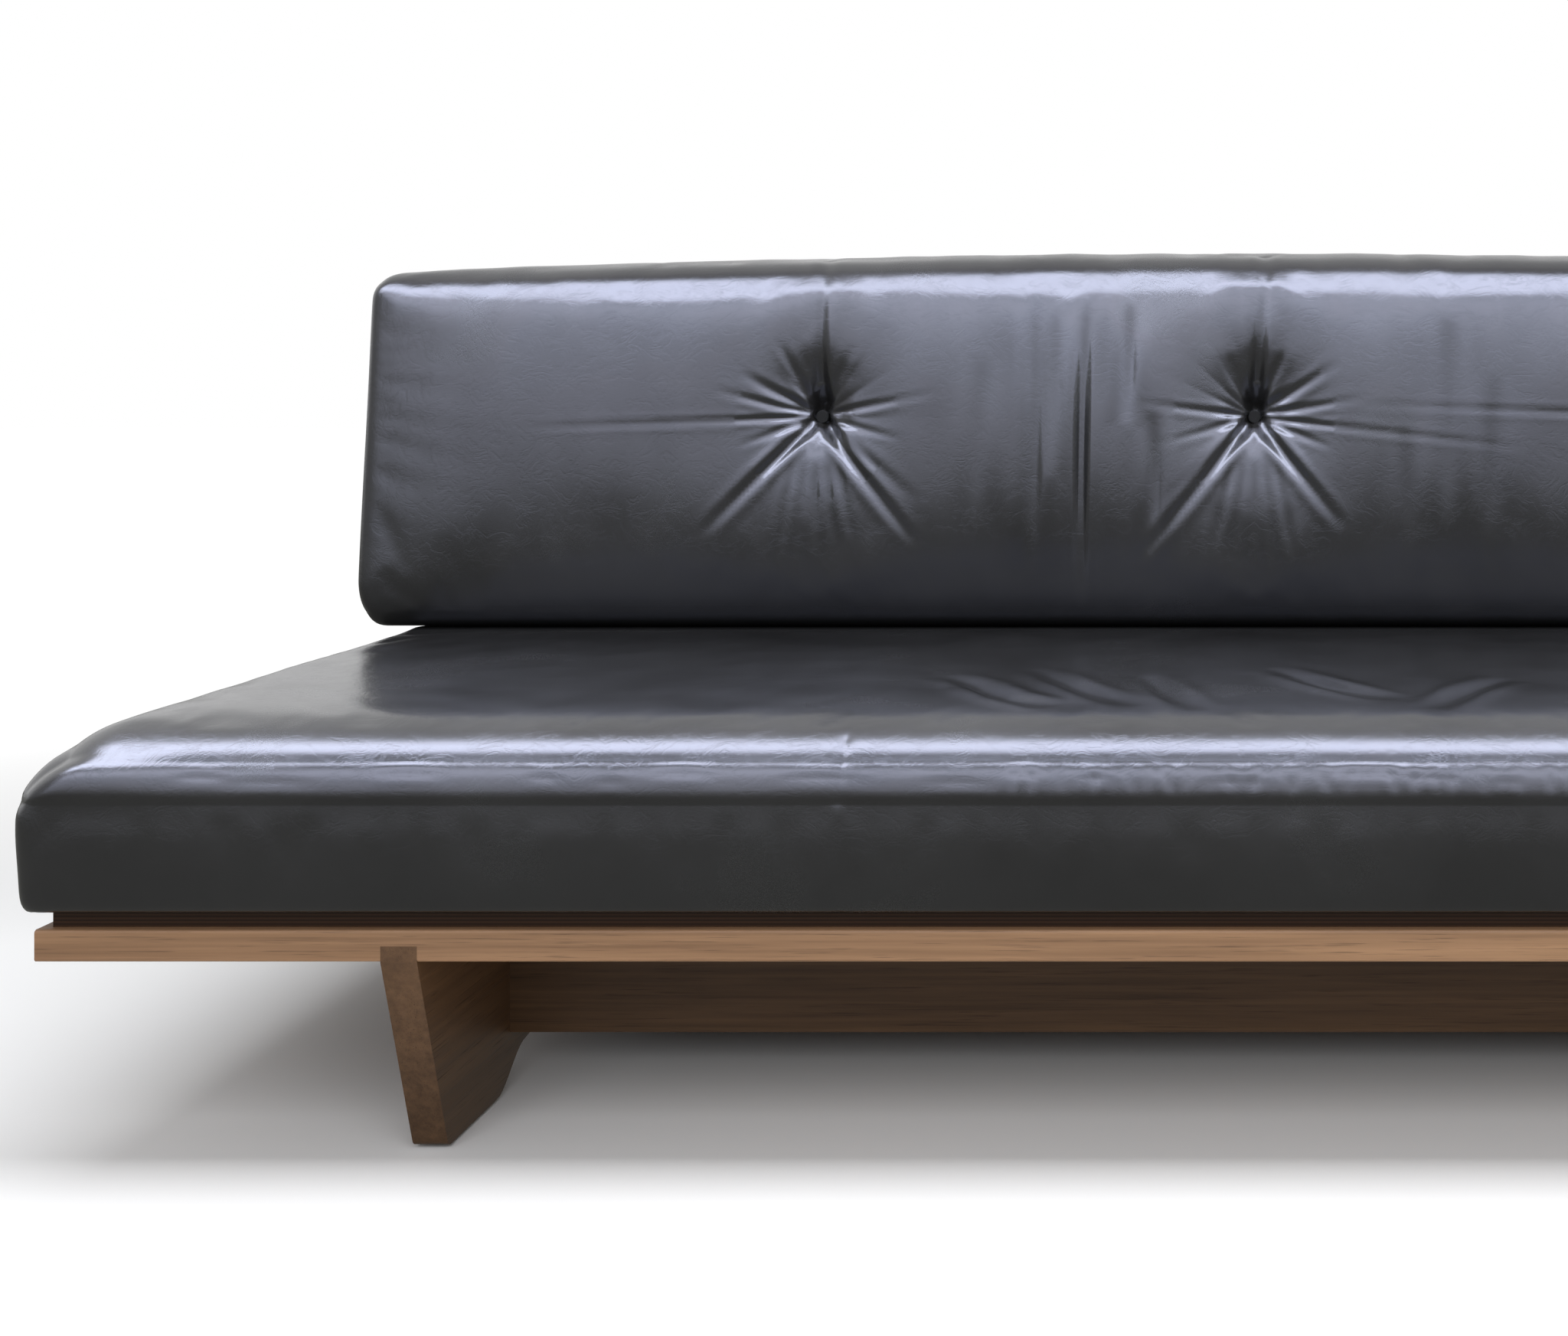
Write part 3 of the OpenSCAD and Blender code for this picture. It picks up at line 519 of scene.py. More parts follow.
# %% Cloth
def let_swell(piece, held, cap, pressure, slack):
    """Blows a cover up as cloth; the farther a point went, the more it is drawn back.

    held says how firmly each point stays in place, from 0 to 1, and slack how much longer
    the leather is than the shape it starts from. No point ends farther than cap away.
    """
    stiffness = 15.0
    bending = 0.5
    last_frame = 20
    start = points_of(piece)
    group = piece.vertex_groups.new(name="held")
    for grip in sorted(set(np.round(held, 1))):
        group.add(np.flatnonzero(np.round(held, 1) == grip).tolist(), float(grip), "REPLACE")
    only(piece)
    bpy.ops.object.modifier_add(type="CLOTH")
    cloth = piece.modifiers[-1]
    rules = cloth.settings
    rules.quality = 5
    rules.effector_weights.gravity = 0
    rules.use_pressure = True
    rules.uniform_pressure_force = pressure
    rules.tension_stiffness = rules.compression_stiffness = stiffness
    rules.shear_stiffness = stiffness / 3
    rules.bending_stiffness = bending
    rules.vertex_group_mass = group.name
    rules.shrink_min = -slack
    cloth.collision_settings.use_collision = False
    cloth.point_cache.frame_end = last_frame
    for step in range(1, last_frame + 1):
        bpy.context.scene.frame_set(step)
    bpy.ops.object.modifier_apply(modifier=cloth.name)
    piece.vertex_groups.clear()
    moved = points_of(piece) - start
    length = np.linalg.norm(moved, axis=1, keepdims=True)
    put_points(piece, start + moved * cap / (cap + length))
    most, mean = length.max() * 1000, length.mean() * 1000
    print(piece.name, "moved by up to", round(most, 1), "mm, mean", round(mean, 2))


print("cloth ready")

# %% Seams and folds
def outward(piece):
    """Direction in which the skin faces at each point."""
    flat = np.empty(len(piece.data.vertices) * 3)
    piece.data.vertices.foreach_get("normal", flat)
    return flat.reshape(-1, 3)


def push(piece, rise):
    """Moves each point along the direction in which it faces."""
    put_points(piece, points_of(piece) + outward(piece) * rise[:, None])


def bump_at(distance, width):
    """1 at distance 0, and almost 0 from two widths on."""
    return np.exp(-(distance / width) ** 2)


def cut_rings(piece, along, spots):
    """Adds rings of points across a piece, at places along one axis."""
    only(piece)
    bpy.ops.object.mode_set(mode="EDIT")
    for spot in spots:
        bpy.ops.mesh.select_all(action="SELECT")
        bpy.ops.mesh.bisect(plane_co=along * spot, plane_no=along)
    bpy.ops.object.mode_set(mode="OBJECT")


def subdivide_once(piece):
    only(piece)
    bpy.ops.object.modifier_add(type="SUBSURF")
    piece.modifiers[-1].levels = piece.modifiers[-1].render_levels = 1
    bpy.ops.object.modifier_apply(modifier=piece.modifiers[-1].name)


def fold(points, rise, path, depth, width, lip, across=1, fade="end"):
    """Adds one crease to rise: a narrow valley along a path, with a low lip on both sides.

    The path is drawn on the skin as seen along the axis `across`, and works on the points
    that lie within `thick` of it. Three places make a curve. fade says where the crease
    dies away: towards its end, or towards both ends.
    """
    thick = 0.06
    curve = np.linspace(0, 1, 9)
    path = [np.array(p) for p in path]
    depth_at = np.mean([p[across] for p in path])
    if len(path) == 3:
        a, b, c = path
        path = [a * (1 - t) ** 2 + b * 2 * t * (1 - t) + c * t ** 2 for t in curve]
    flat = [axis for axis in range(3) if axis != across]
    path = [p[flat] for p in path]
    low = np.min(path, axis=0) - 4 * width
    high = np.max(path, axis=0) + 4 * width
    seen = points[:, flat]
    near = np.all((seen > low) & (seen < high), axis=1)
    near &= np.abs(points[:, across] - depth_at) < thick
    near = np.flatnonzero(near)
    nearest = np.full(len(near), np.inf)
    share = np.zeros(len(near))
    for i, (a, b) in enumerate(zip(path, path[1:])):
        t = np.clip((seen[near] - a) @ (b - a) / ((b - a) @ (b - a)), 0, 1)
        gap = np.linalg.norm(seen[near] - a - t[:, None] * (b - a), axis=1)
        closer = gap < nearest
        nearest[closer] = gap[closer]
        share[closer] = (i + t[closer]) / (len(path) - 1)
    strength = (1 - share) ** 0.8 if fade == "end" else np.sin(np.pi * share)
    valley = bump_at(nearest, width) - lip * bump_at(nearest - 2 * width, width)
    rise[near] -= depth * strength * valley


def ripple(points, size, seed):
    """Smooth noise from -1 to 1 whose waves have the given size along each axis."""
    return np.array([noise.noise(spot) for spot in (points / np.array(size) + seed).tolist()])


skin_gap = 0.0015


def keep_off(piece, node):
    """Lifts the skin wherever it would cut into the filling."""
    only(piece)
    bpy.ops.object.modifier_add(type="SHRINKWRAP")
    wrap = piece.modifiers[-1]
    wrap.target = nodes[node]
    wrap.wrap_method = "NEAREST_SURFACEPOINT"
    wrap.wrap_mode = "OUTSIDE"
    wrap.offset = skin_gap
    bpy.ops.object.modifier_apply(modifier=wrap.name)


print("fold tools ready")

# %% [markdown]
# The seat cushion's cover
#
# On the real sofa this is one long bench cushion. Its top edge is a soft roll, because the
# foam under it is cut round, and below the roll a straight band closes the box. One seam
# runs along the roll and a deeper one under it, and two cross seams join the leather of the
# long panel, since no hide is two metres long. So the block gets a large radius along the
# top, a small one along the bottom, and sharp upright corners that grow rounder into the
# roll. It is blown up a little as cloth, held at the seams, at its ends and wherever it
# touches something, and nearly held on the roll. The seams and creases are drawn in after
# that.

# %% Seat cover, shape
back_foot = crevice_z
back_front_y = crevice_y - 0.02
crown = 0.006
roll_deep = 0.080
roll_high = 0.072
upright_edge = 0.020
foot_edge = 0.014
end_draw = 0.008
front_drop = 0.006
touch_gap = 0.0006
seat_low, seat_high = (Vector(v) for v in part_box("seat_cover"))
seat_high.z -= crown
seat_mid_y = (seat_low.y + seat_high.y) / 2
seat_half_y = (seat_high.y - seat_low.y) / 2
seat_mid_z = (seat_low.z + seat_high.z) / 2
roll_foot = seat_high.z - roll_high
seam_low = 0.3286
seam_high = 0.3632
cross_seam_x = 0.363
seat_rows = 16
seam_rows = (10, 15)


def seat_radii(p):
    """A wide roll along the top, and upright corners that are sharp only below it."""
    corner_reach = 0.16
    corner_fade = 0.07
    up = (p[:, 2] - roll_foot) / roll_high
    from_end = seat_high.x - np.abs(p[:, 0])
    from_side = seat_half_y - np.abs(p[:, 1] - seat_mid_y)
    corner = np.clip((corner_reach - np.maximum(from_end, from_side)) / corner_fade, 0, 1)
    r = np.empty_like(p)
    r[:, 0] = r[:, 1] = roll_deep * (1 - corner) + blend(upright_edge, roll_deep, up) * corner
    r[:, 2] = np.where(p[:, 2] > seat_mid_z, roll_high, foot_edge)
    r[p[:, 2] < seat_mid_z, :2] = upright_edge
    return r


def row_of(z):
    """Height on the block of what comes out at height z on the roll."""
    rise = (z - roll_foot) / roll_high
    return roll_foot + roll_high * rise / math.sqrt(1 - rise ** 2)


def rows_on_seams(p):
    """Moves two rows of the block's skin to where the seams come out."""
    row = (seat_high.z - seat_low.z) / seat_rows
    was = [seat_low.z, *(seat_low.z + count * row for count in seam_rows), seat_high.z]
    now = [seat_low.z, row_of(seam_low), row_of(seam_high), seat_high.z]
    q = p.copy()
    q[:, 2] = np.interp(p[:, 2], was, now)
    return q


def seat_form(p):
    """Crown on the top, ends drawn in towards the bottom, and soft corners in front.

    The top rises to meet the back cushion. height goes from 0 at the foot to 1 on top.
    """
    side = np.sign(p[:, 0])
    height = np.clip((p[:, 2] - seat_low.z) / (seat_high.z - seat_low.z), 0, 1)
    over = (1 - (p[:, 0] / seat_high.x) ** 2) * (1 - ((p[:, 1] - seat_mid_y) / seat_half_y) ** 2)
    q = p.copy()
    q[:, 2] += crown * np.clip(over, 0, 1) * height ** 2
    under_back = np.clip((p[:, 1] - back_front_y) / 0.04, 0, 1) * (height > 0.99)
    q[:, 2] = blend(q[:, 2], back_foot - touch_gap, under_back)
    near_end = np.clip(1 - (seat_high.x - np.abs(p[:, 0])) / 0.15, 0, 1)
    near_front = np.clip(1 - (p[:, 1] - seat_low.y) / 0.12, 0, 1)
    q[:, 0] -= side * end_draw * near_end ** 2 * np.clip(1 - height / 0.65, 0, 1)
    drop = near_end ** 2 * near_front ** 2 * np.clip(height - 0.6, 0, 1) / 0.4
    q[:, 0] -= side * front_drop * drop
    q[:, 2] -= front_drop * drop
    return q


seat = skin_block("seat_leather", seat_low, seat_high, (15, 5, 1), seat_rows - 1)
block = rows_on_seams(points_of(seat))
put_points(seat, seat_form(soften(block, seat_low, seat_high, seat_radii)))
seat.data.materials.append(leather)

# %% Seat cover, cloth
grip_wide = 0.004
foot_hold = 0.012
end_hold = 0.02
roll_grip = 0.9
at = points_of(seat)
seam_grip = np.max([bump_at(at[:, 2] - seam, grip_wide) for seam in (seam_low, seam_high)], axis=0)
on_deck = at[:, 2] < seat_low.z + foot_hold
under_back = at[:, 1] > back_front_y
at_end = np.abs(at[:, 0]) > seat_high.x - end_hold
on_roll = (at[:, 2] > roll_foot) & (at[:, 2] < seat_high.z - 0.003)
held = np.max([seam_grip, on_deck | under_back | at_end, roll_grip * on_roll], axis=0)
let_swell(seat, held, cap=0.005, pressure=0.15, slack=0.003)
subdivide_once(seat)
print("seat cover has", len(seat.data.vertices), "points")

# %% Seat cover, seams and creases
ring_gap = 0.0012
sag = 0.005
puff = 0.0005
low_groove, high_groove, cross_groove = 0.002, 0.0004, 0.0018
roll_top = 0.380
both_sides = (-ring_gap, ring_gap)
long_rings = [seam + gap for seam in (seam_low, seam_high) for gap in both_sides]
cross_rings = [side * cross_seam_x + gap for side in (-1, 1) for gap in both_sides]
cut_rings(seat, Vector((0, 0, 1)), long_rings)
cut_rings(seat, Vector((1, 0, 0)), cross_rings)

# Past the deck's edge nothing carries the cushion's foot
at = points_of(seat)
past_front = np.clip((deck_low.y - 0.005 - at[:, 1]) / 0.008, 0, 1)
past_end = np.clip((np.abs(at[:, 0]) - deck_high.x - 0.005) / 0.012, 0, 1)
near_foot = np.clip(1 - (at[:, 2] - seat_low.z) / 0.03, 0, 1)
at[:, 2] -= sag * np.maximum(past_front, past_end) * near_foot
put_points(seat, at)

# A slight puff between the two long seams, and a groove along every seam
rise = np.zeros(len(at))
band = np.clip((at[:, 2] - seam_low) / (seam_high - seam_low), 0, 1)
rise += puff * (1 - np.abs(2 * band - 1) ** 2.5) * (band > 0) * (band < 1)
below = at[:, 2] < seam_low
rise -= low_groove * bump_at(at[:, 2] - seam_low, np.where(below, 0.022, 0.005))
in_front = blend(1.0, 0.2, (np.abs(at[:, 0]) - seat_high.x + 0.16) / 0.10)
rise -= high_groove * bump_at(at[:, 2] - seam_high, 0.0028) * in_front
on_top = np.clip((at[:, 2] - roll_top) / 0.009, 0, 1)
cross = 1 - on_top - blend(0, 0.75, (seam_low + 0.004 - at[:, 2]) / 0.008)
rise -= cross_groove * cross * bump_at(np.abs(at[:, 0]) - cross_seam_x, 0.0055)

# Folds on top: the places of each are given as X and the distance from the front edge
seat_fold_deep, seat_fold_wide = 0.0034, 0.011
seat_folds = [
    ((-0.306, 0.258), (-0.262, 0.19), (-0.236, 0.149)), ((-0.223, 0.296), (-0.18, 0.19), (-0.112, 0.099)),
    ((-0.106, 0.258), (-0.09, 0.17), (-0.053, 0.084)), ((-0.28, 0.20), (-0.23, 0.13), (-0.19, 0.10)),
    ((0.02, 0.30), (0.06, 0.20), (0.13, 0.13)), ((0.25, 0.24), (0.20, 0.17), (0.17, 0.09)),
    ((0.70, 0.33), (0.64, 0.24), (0.61, 0.15)), ((0.78, 0.26), (0.74, 0.20), (0.72, 0.13)),
]
for path in seat_folds:
    on_seat = [(x, seat_low.y + d, seat_high.z) for x, d in path]
    fold(at, rise, on_seat, seat_fold_deep, seat_fold_wide, lip=0.7, across=2, fade="both")

# Shallow level streaks in the band, and short upright gathers near the middle
streak_z = 0.3495
streak_deep, streak_wide = 0.0006, 0.003
gather_wide = 0.0035
for step in range(16):
    x = -0.92 + 0.09 * step + 0.03 * math.sin(4.7 * step)
    z = streak_z - 0.004 * math.sin(2.1 * step)
    y = seat_low.y + 0.016
    half = 0.03 + 0.015 * math.sin(1.3 * step)
    streak = [(x - half, y, z), (x, y, z + 0.003), (x + half, y, z - 0.001)]
    fold(at, rise, streak, streak_deep, streak_wide, lip=0.7, fade="both")
for step in range(24):
    x = -0.21 + 0.023 * step + 0.008 * math.sin(5.1 * step)
    high = (x, seat_low.y + 0.014, seam_high - 0.003)
    low = (x + 0.006 * math.sin(3.3 * step), seat_low.y + 0.001, seam_low + 0.010)
    depth = 0.0012 + 0.0005 * math.sin(2.3 * step)
    fold(at, rise, [high, low], depth, gather_wide, lip=0.6, fade="both")

# Slight waves wherever the cover touches neither the deck nor the back cushion
wave_high = 0.0004
wave_size = (0.09, 0.06, 0.06)
over_foot = np.clip((at[:, 2] - seat_low.z) / 0.03, 0, 1)
before_back = np.clip((back_front_y - at[:, 1]) / 0.04, 0, 1)
rise += wave_high * ripple(at, wave_size, 3.0) * over_foot * before_back
push(seat, rise)
keep_off(seat, "seat_core")

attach(seat, "seat_cushion")
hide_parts("seat_cover")

# %% [markdown]
# The back cushion's cover
#
# The back cushion leans, and its front is pulled in at three deep tufts. A cord runs from a
# small button through the foam to a washer behind, so around each tuft the leather dives
# into a funnel and creases run out from it like a star. The deepest ones run straight up and,
# as a pair, down and outwards, because the leather hangs from the tufts.

# %% Back cover, shape
lean = math.radians(6)
back_depth = 0.150
back_height = 0.432
back_rise = 0.024
back_crown = 0.016
foot_roll = 0.055
top_roll = 0.029
end_edges = (0.016, 0.026)
front_edges = (0.018, 0.030)
rear_edge = 0.014
tuft_xs = (-0.53, 0.0, 0.53)
back_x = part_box("back_cover")[1][0]
back_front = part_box("back_zip_tape")[1][1] + rear_edge - back_depth
tuft_height = back_foot + 0.255
block_low = Vector((-back_x, back_front, back_foot))
block_high = Vector((back_x, back_front + back_depth, back_foot + back_height))


def back_radii(p):
    """Small round edges behind, wider ones in front, and the widest along the front's foot."""
    over_foot = p[:, 2] - block_low.z
    edge = np.where(over_foot < back_height / 2, foot_roll, top_roll)
    near_edge = 1 - np.minimum(over_foot, back_height - over_foot) / edge
    front = p[:, 1] < (block_low.y + block_high.y) / 2
    r = np.empty_like(p)
    r[:, 0] = blend(*end_edges, near_edge)
    r[:, 1] = np.where(front, blend(*front_edges, near_edge), rear_edge)
    r[:, 2] = np.where(front, edge, rear_edge)
    return r


def back_form(p):
    """Lean, the rise towards the middle, and the swell of the front."""
    v = (p[:, 2] - block_low.z) / back_height
    ahead = np.clip((block_high.y - p[:, 1]) / back_depth, 0, 1)
    across = p[:, 0] / back_x
    q = p.copy()
    q[:, 2] += back_rise * (1 - across ** 2) * np.clip(v, 0, 1)
    swell = back_crown * (1 - across ** 4) * np.clip(1 - (2 * v - 1) ** 2, 0, 1)
    q[:, 1] += (q[:, 2] - block_low.z) * math.tan(lean) - ahead ** 3 * swell
    return q


back = skin_block("back_leather", block_low, block_high, (15, 1, 3), 15)
put_points(back, back_form(soften(points_of(back), block_low, block_high, back_radii)))
back.data.materials.append(leather)


# %% Back cover, cloth
def share_ahead(p):
    """0 on the cushion's rear and 1 on its front."""
    rear = block_high.y + (p[:, 2] - back_foot) * math.tan(lean)
    return np.clip((rear - p[:, 1]) / back_depth, 0, 1)


def to_tuft(p):
    """Distance of each point from the nearest tuft, as seen from the front."""
    return np.min([np.hypot(p[:, 0] - x, p[:, 2] - tuft_height) for x in tuft_xs], axis=0)


tuft_hold = 0.06
foot_hold = 0.02
at = points_of(back)
on_rear = share_ahead(at) < 0.1
on_foot = at[:, 2] < back_foot + foot_hold
at_end = np.abs(at[:, 0]) > back_x - end_hold
held = np.maximum(bump_at(to_tuft(at), tuft_hold), on_rear | on_foot | at_end)
let_swell(back, held, cap=0.007, pressure=0.5, slack=0.003)
subdivide_once(back)
print("back cover has", len(back.data.vertices), "points")


# %% Back cover, tufts
def refine(piece, near):
    """Cuts the faces between the given points once more, so that they can hold fine pleats."""
    only(piece)
    bpy.ops.object.mode_set(mode="EDIT")
    bpy.ops.mesh.select_mode(type="VERT")
    bpy.ops.mesh.select_all(action="DESELECT")
    bpy.ops.object.mode_set(mode="OBJECT")
    piece.data.vertices.foreach_set("select", near)
    bpy.ops.object.mode_set(mode="EDIT")
    bpy.ops.mesh.subdivide(number_cuts=1)
    bpy.ops.object.mode_set(mode="OBJECT")


def tuft_pull(p, x):
    """How far the front is pulled in near a tuft: a funnel, longer above the button."""
    deep, wide, above, below = 0.045, 0.026, 1.5, 0.8
    u, w = p[:, 0] - x, p[:, 2] - tuft_height
    away = np.hypot(u, np.where(w > 0, w / above, w / below))
    return deep * np.exp(-(away / wide) ** 1.15)


pleated = 0.10
at = points_of(back)
refine(back, (to_tuft(at) < pleated) & (share_ahead(at) > 0.8))
at = points_of(back)
at[:, 1] += sum(tuft_pull(at, x) for x in tuft_xs) * share_ahead(at) ** 3
put_points(back, at)
print(len(tuft_xs), "tufts pulled in")

# %% Back cover, creases
# Creases that run out from a tuft: angle from the right, length, depth and width
star = [
    (182, 0.36, 0.0022, 0.0035),
    (150, 0.11, 0.0040, 0.005),
    (118, 0.11, 0.0040, 0.005),
    (90, 0.21, 0.0120, 0.008),
    (64, 0.10, 0.0030, 0.006),
    (12, 0.15, 0.0024, 0.004),
    (346, 0.11, 0.0020, 0.004),
    (226, 0.20, 0.0090, 0.006),
    (309, 0.20, 0.0090, 0.006),
    (321, 0.16, 0.0030, 0.006),
    (200, 0.10, 0.0030, 0.004),
    (165, 0.13, 0.0030, 0.004),
]
star_share = 0.6
face_inset = 0.012
pleats = 9
pleat_deep = 0.0034
pleat_fade, pleat_start = 0.034, 0.012
fan_deep, fan_wide = 0.0014, 0.0045
at = points_of(back)
rise = np.zeros(len(at))


def on_front(x, z):
    """Point of the back cushion's front face at x and z."""
    return (x, back_front + (z - back_foot) * math.tan(lean) - face_inset, z)


# The middle star is mirrored, and each star and its pleats differ a little from the others
for k, (tuft, flip) in enumerate(zip(tuft_xs, (1, -1, 1))):
    for i, (angle, length, depth, width) in enumerate(star):
        toward = math.radians(angle + 5 * math.sin(2.1 * k + 1.7 * k * i))
        reach = length * (1 + 0.15 * math.sin(3.7 * k * (i + 1)))
        u, w = math.cos(toward) * flip, math.sin(toward)
        ends = [on_front(tuft + u * s, tuft_height + w * s) for s in (0.008, reach)]
        fold(at, rise, ends, depth * star_share, width, lip=0.35)
    away = np.hypot(at[:, 0] - tuft, at[:, 2] - tuft_height)
    turn = np.arctan2(at[:, 2] - tuft_height, at[:, 0] - tuft)
    uneven = 1.1 * np.sin(2 * turn + 2.0 * k)
    pleat = np.abs(np.sin(pleats * turn + uneven)) ** 0.6 - 0.7
    fine = np.exp(-away / pleat_fade) * np.clip(away / pleat_start, 0, 1) * (share_ahead(at) > 0.5)
    rise += pleat_deep * pleat * fine * blend(0.12, 1.0, 0.7 + 2 * np.sin(turn))
    for step in range(-2, 3):
        top = on_front(tuft + 0.014 * step, tuft_height - 0.055)
        low_z = tuft_height - 0.165 + 0.02 * math.sin(step + 4 * k)
        low = on_front(tuft + 0.022 * step, low_z)
        fold(at, rise, [top, low], fan_deep, fan_wide, lip=0.5, fade="both")

# Folds that hang between the tufts: X, upper and lower end, depth and width
hanging = [
    (-0.204, 0.790, 0.420, 0.0072, 0.0066),
    (-0.152, 0.790, 0.640, 0.0044, 0.0085),
    (-0.268, 0.800, 0.460, 0.0048, 0.0085),
    (-0.244, 0.780, 0.580, 0.0028, 0.008),
    (-0.124, 0.660, 0.480, 0.0046, 0.009),
    (-0.330, 0.720, 0.520, 0.0018, 0.010),
    (0.236, 0.770, 0.520, 0.0030, 0.010),
    (0.290, 0.700, 0.460, 0.0024, 0.009),
    (0.180, 0.640, 0.450, 0.0018, 0.009),
    (0.720, 0.740, 0.560, 0.0018, 0.010),
]
for x, high, low, depth, width in hanging:
    middle = on_front(x + 0.008 * math.sin(40 * x), (high + low) / 2)
    ends = [on_front(x, high), middle, on_front(x - 0.004, low)]
    fold(at, rise, ends, depth, width, lip=0.5, fade="both")

# Slight waves, larger where the hanging folds are and none where the foot rests
wave_high, hanging_wave = 0.0009, 0.0014
wave_size = (0.035, 0.08, 0.14)
loose = wave_high + hanging_wave * bump_at(np.abs(at[:, 0]) - 0.22, 0.12)
loose *= np.clip((at[:, 2] - back_foot) / 0.03, 0, 1)
rise += loose * ripple(at, wave_size, 7.0) * share_ahead(at)
push(back, rise)
keep_off(back, "back_core")

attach(back, "back_cushion")
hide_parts("back_cover")
# Painted shade: the buttons get the darkened, shineless hide.
dress("tuft_buttons", shaded_button_leather)
for node in ("seat_core", "back_core"):
    dress(node, foam)

for piece in (seat, back):
    only(piece)
    bpy.ops.object.shade_smooth()
    print(piece.name, len(piece.data.polygons), "faces")

# %% [markdown]
# Floor and light
#
# The floor is pale, in shade near the sofa and plain white farther off. Black leather is
# drawn almost wholly by what it mirrors, so the lamps are split in two sets. Two lamps give
# the light that wood and floor scatter, and no reflection shows them. Four long bluish lamps
# are there for reflections only. The one overhead makes the bright line along the seat's roll
# and the top of the back, and the three in front, each dimmer than the one above it, grade
# the back cushion's face. Reflections see the floor as a dim grey and the surroundings
# brighter behind the sofa than before it. The camera sees the surroundings as white.

# %% Floor
def floor_finish():
    """Pale floor that lies in shade near the sofa and turns into plain white farther off."""
    made = Finish("pale_floor", Roughness=0.95, Specular_IOR_Level=0.05, Emission_Strength=1.0)
    shade_ends, white_starts = 1.15, 2.4
    spot = made.place(scale=(0.8, 1.1, 1))
    far = made.add("ShaderNodeVectorMath", {"operation": "LENGTH"}, [spot], "Value")
    glow = made.steps(far, shade_ends, white_starts)
    made.shade(Base_Color=made.ramp(glow, (0.0, (0.86, 0.86, 0.86)), (1.0, (0, 0, 0))))
    made.shade(Emission_Color=made.ramp(glow, (0.0, (0, 0, 0)), (1.0, (1, 1, 1))))
    dim = made.add("ShaderNodeEmission", None, {"Color": (0.24, 0.24, 0.22)})
    made.overlay(made.add("ShaderNodeLightPath", output="Is Glossy Ray"), dim)
    return made.material


bpy.ops.object.select_all(action="DESELECT")
bpy.ops.mesh.primitive_plane_add(size=40, location=(0, 0, 0))
floor = bpy.context.object
floor.name = "floor"
floor.data.materials.append(floor_finish())
floor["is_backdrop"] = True
print("floor laid")


# %% Lamps
def soft_box(name, spot, aim, size, brightness, tint, mirrored):
    """A lamp with an even front, for mirrored light only or for all other light only."""
    lamp = bpy.data.lights.new(name, "AREA")
    lamp.shape = "RECTANGLE"
    lamp.size, lamp.size_y = size
    lamp.energy = brightness * math.pi * size[0] * size[1]
    lamp.color = tint
    held = bpy.data.objects.new(name, lamp)
    bpy.context.scene.collection.objects.link(held)
    held.location = spot
    held.rotation_euler = (Vector(aim) - Vector(spot)).to_track_quat("-Z", "Y").to_euler()
    held.visible_camera = False
    held.visible_diffuse = not mirrored
    held.visible_glossy = mirrored


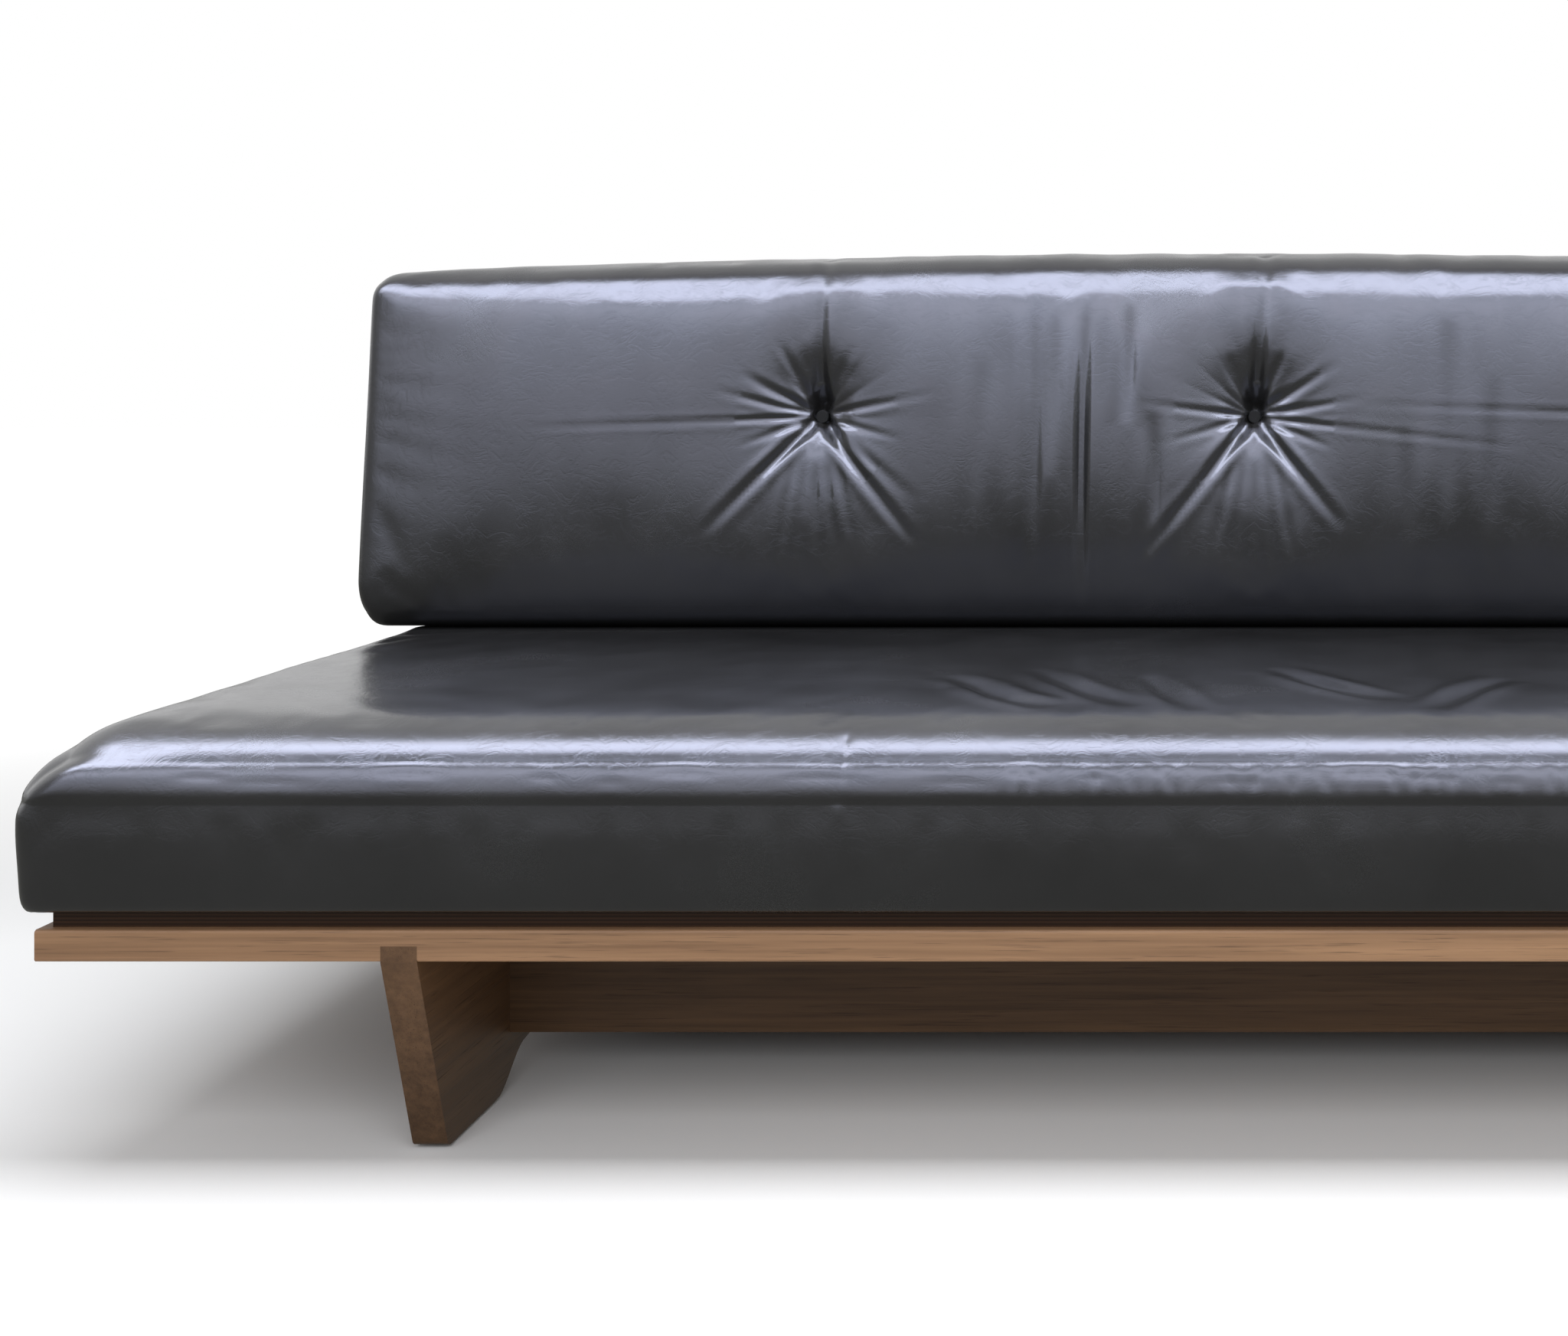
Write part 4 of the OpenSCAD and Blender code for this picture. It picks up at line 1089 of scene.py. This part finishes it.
plain = (0.97, 0.98, 1.0)
cool = (0.78, 0.82, 1.0)
soft_box("overhead", (0.0, -0.5, 2.6), (0.0, -0.42, 0.4), (3.4, 1.0), 6.6, plain, False)
soft_box("front", (0.2, -3.65, 2.7), (0.0, 0.1, 0.6), (4.8, 2.7), 2.5, plain, False)
soft_box("shine_top", (0.0, -0.40, 1.70), (0.0, -0.36, 0.4), (4.8, 0.52), 11.0, cool, True)
soft_box("shine_high", (0.0, -1.36, 1.76), (0.0, -0.5, 0.5), (5.2, 0.57), 4.2, cool, True)
soft_box("shine_middle", (0.0, -1.75, 1.38), (0.0, -0.09, 0.28), (5.6, 0.52), 1.7, cool, True)
soft_box("shine_low", (0.0, -1.93, 0.98), (0.0, 0.1, 0.6), (5.8, 0.36), 1.0, cool, True)
print("lamps lit")

# %% Surroundings
world = bpy.data.worlds.new("studio")
bpy.context.scene.world = world
world.use_nodes = True
sky = world.node_tree


def sky_node(kind, settings, values):
    """Adds a node to the sky; values are the values or links of its sockets."""
    node = sky.nodes.new(kind)
    for key, value in settings.items():
        setattr(node, key, value)
    for key, value in values.items():
        if hasattr(value, "is_output"):
            sky.links.new(value, node.inputs[key])
        else:
            node.inputs[key].default_value = value
    return node.outputs


def sky_steps(amount, low, high, to_low, to_high):
    values = [amount, low, high, to_low, to_high]
    return sky_node("ShaderNodeMapRange", {}, dict(enumerate(values)))[0]


def sky_mix(factor, first, second):
    """Two numbers mixed; on the Mix node they are sockets 2 and 3."""
    return sky_node("ShaderNodeMix", {}, {0: factor, 2: first, 3: second})[0]


white = (1, 1, 1, 1)
scattered = 0.4
toward = sky_node("ShaderNodeTexCoord", {}, {})["Generated"]
parts = sky_node("ShaderNodeSeparateXYZ", {}, {"Vector": toward})
behind = sky_steps(parts["Y"], -0.25, 0.15, 0.5, 1.0)
above_floor = sky_steps(parts["Z"], -0.02, 0.04, 0.3, 1.0)
shine = sky_node("ShaderNodeMath", {"operation": "MULTIPLY"}, {0: behind, 1: above_floor})[0]
ray = sky_node("ShaderNodeLightPath", {}, {})
unseen = sky_mix(ray["Is Glossy Ray"], scattered, shine)
strength = sky_mix(ray["Is Camera Ray"], unseen, 1.0)
background = sky.nodes["Background"]
background.inputs["Color"].default_value = white
sky.links.new(strength, background.inputs["Strength"])
print("surroundings lit")

# %% [markdown]
# Check the size
#
# The covers may stand a little proud of the CAD model. The differences between the two boxes
# are printed axis by axis, in millimetres.

# %% Sizes
seen_low, seen_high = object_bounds()
for axis, name in enumerate("XYZ"):
    low_by, high_by = (seen_low - cad_low)[axis] * 1000, (seen_high - cad_high)[axis] * 1000
    print(name, "low", round(low_by, 1), "mm, high", round(high_by, 1), "mm")
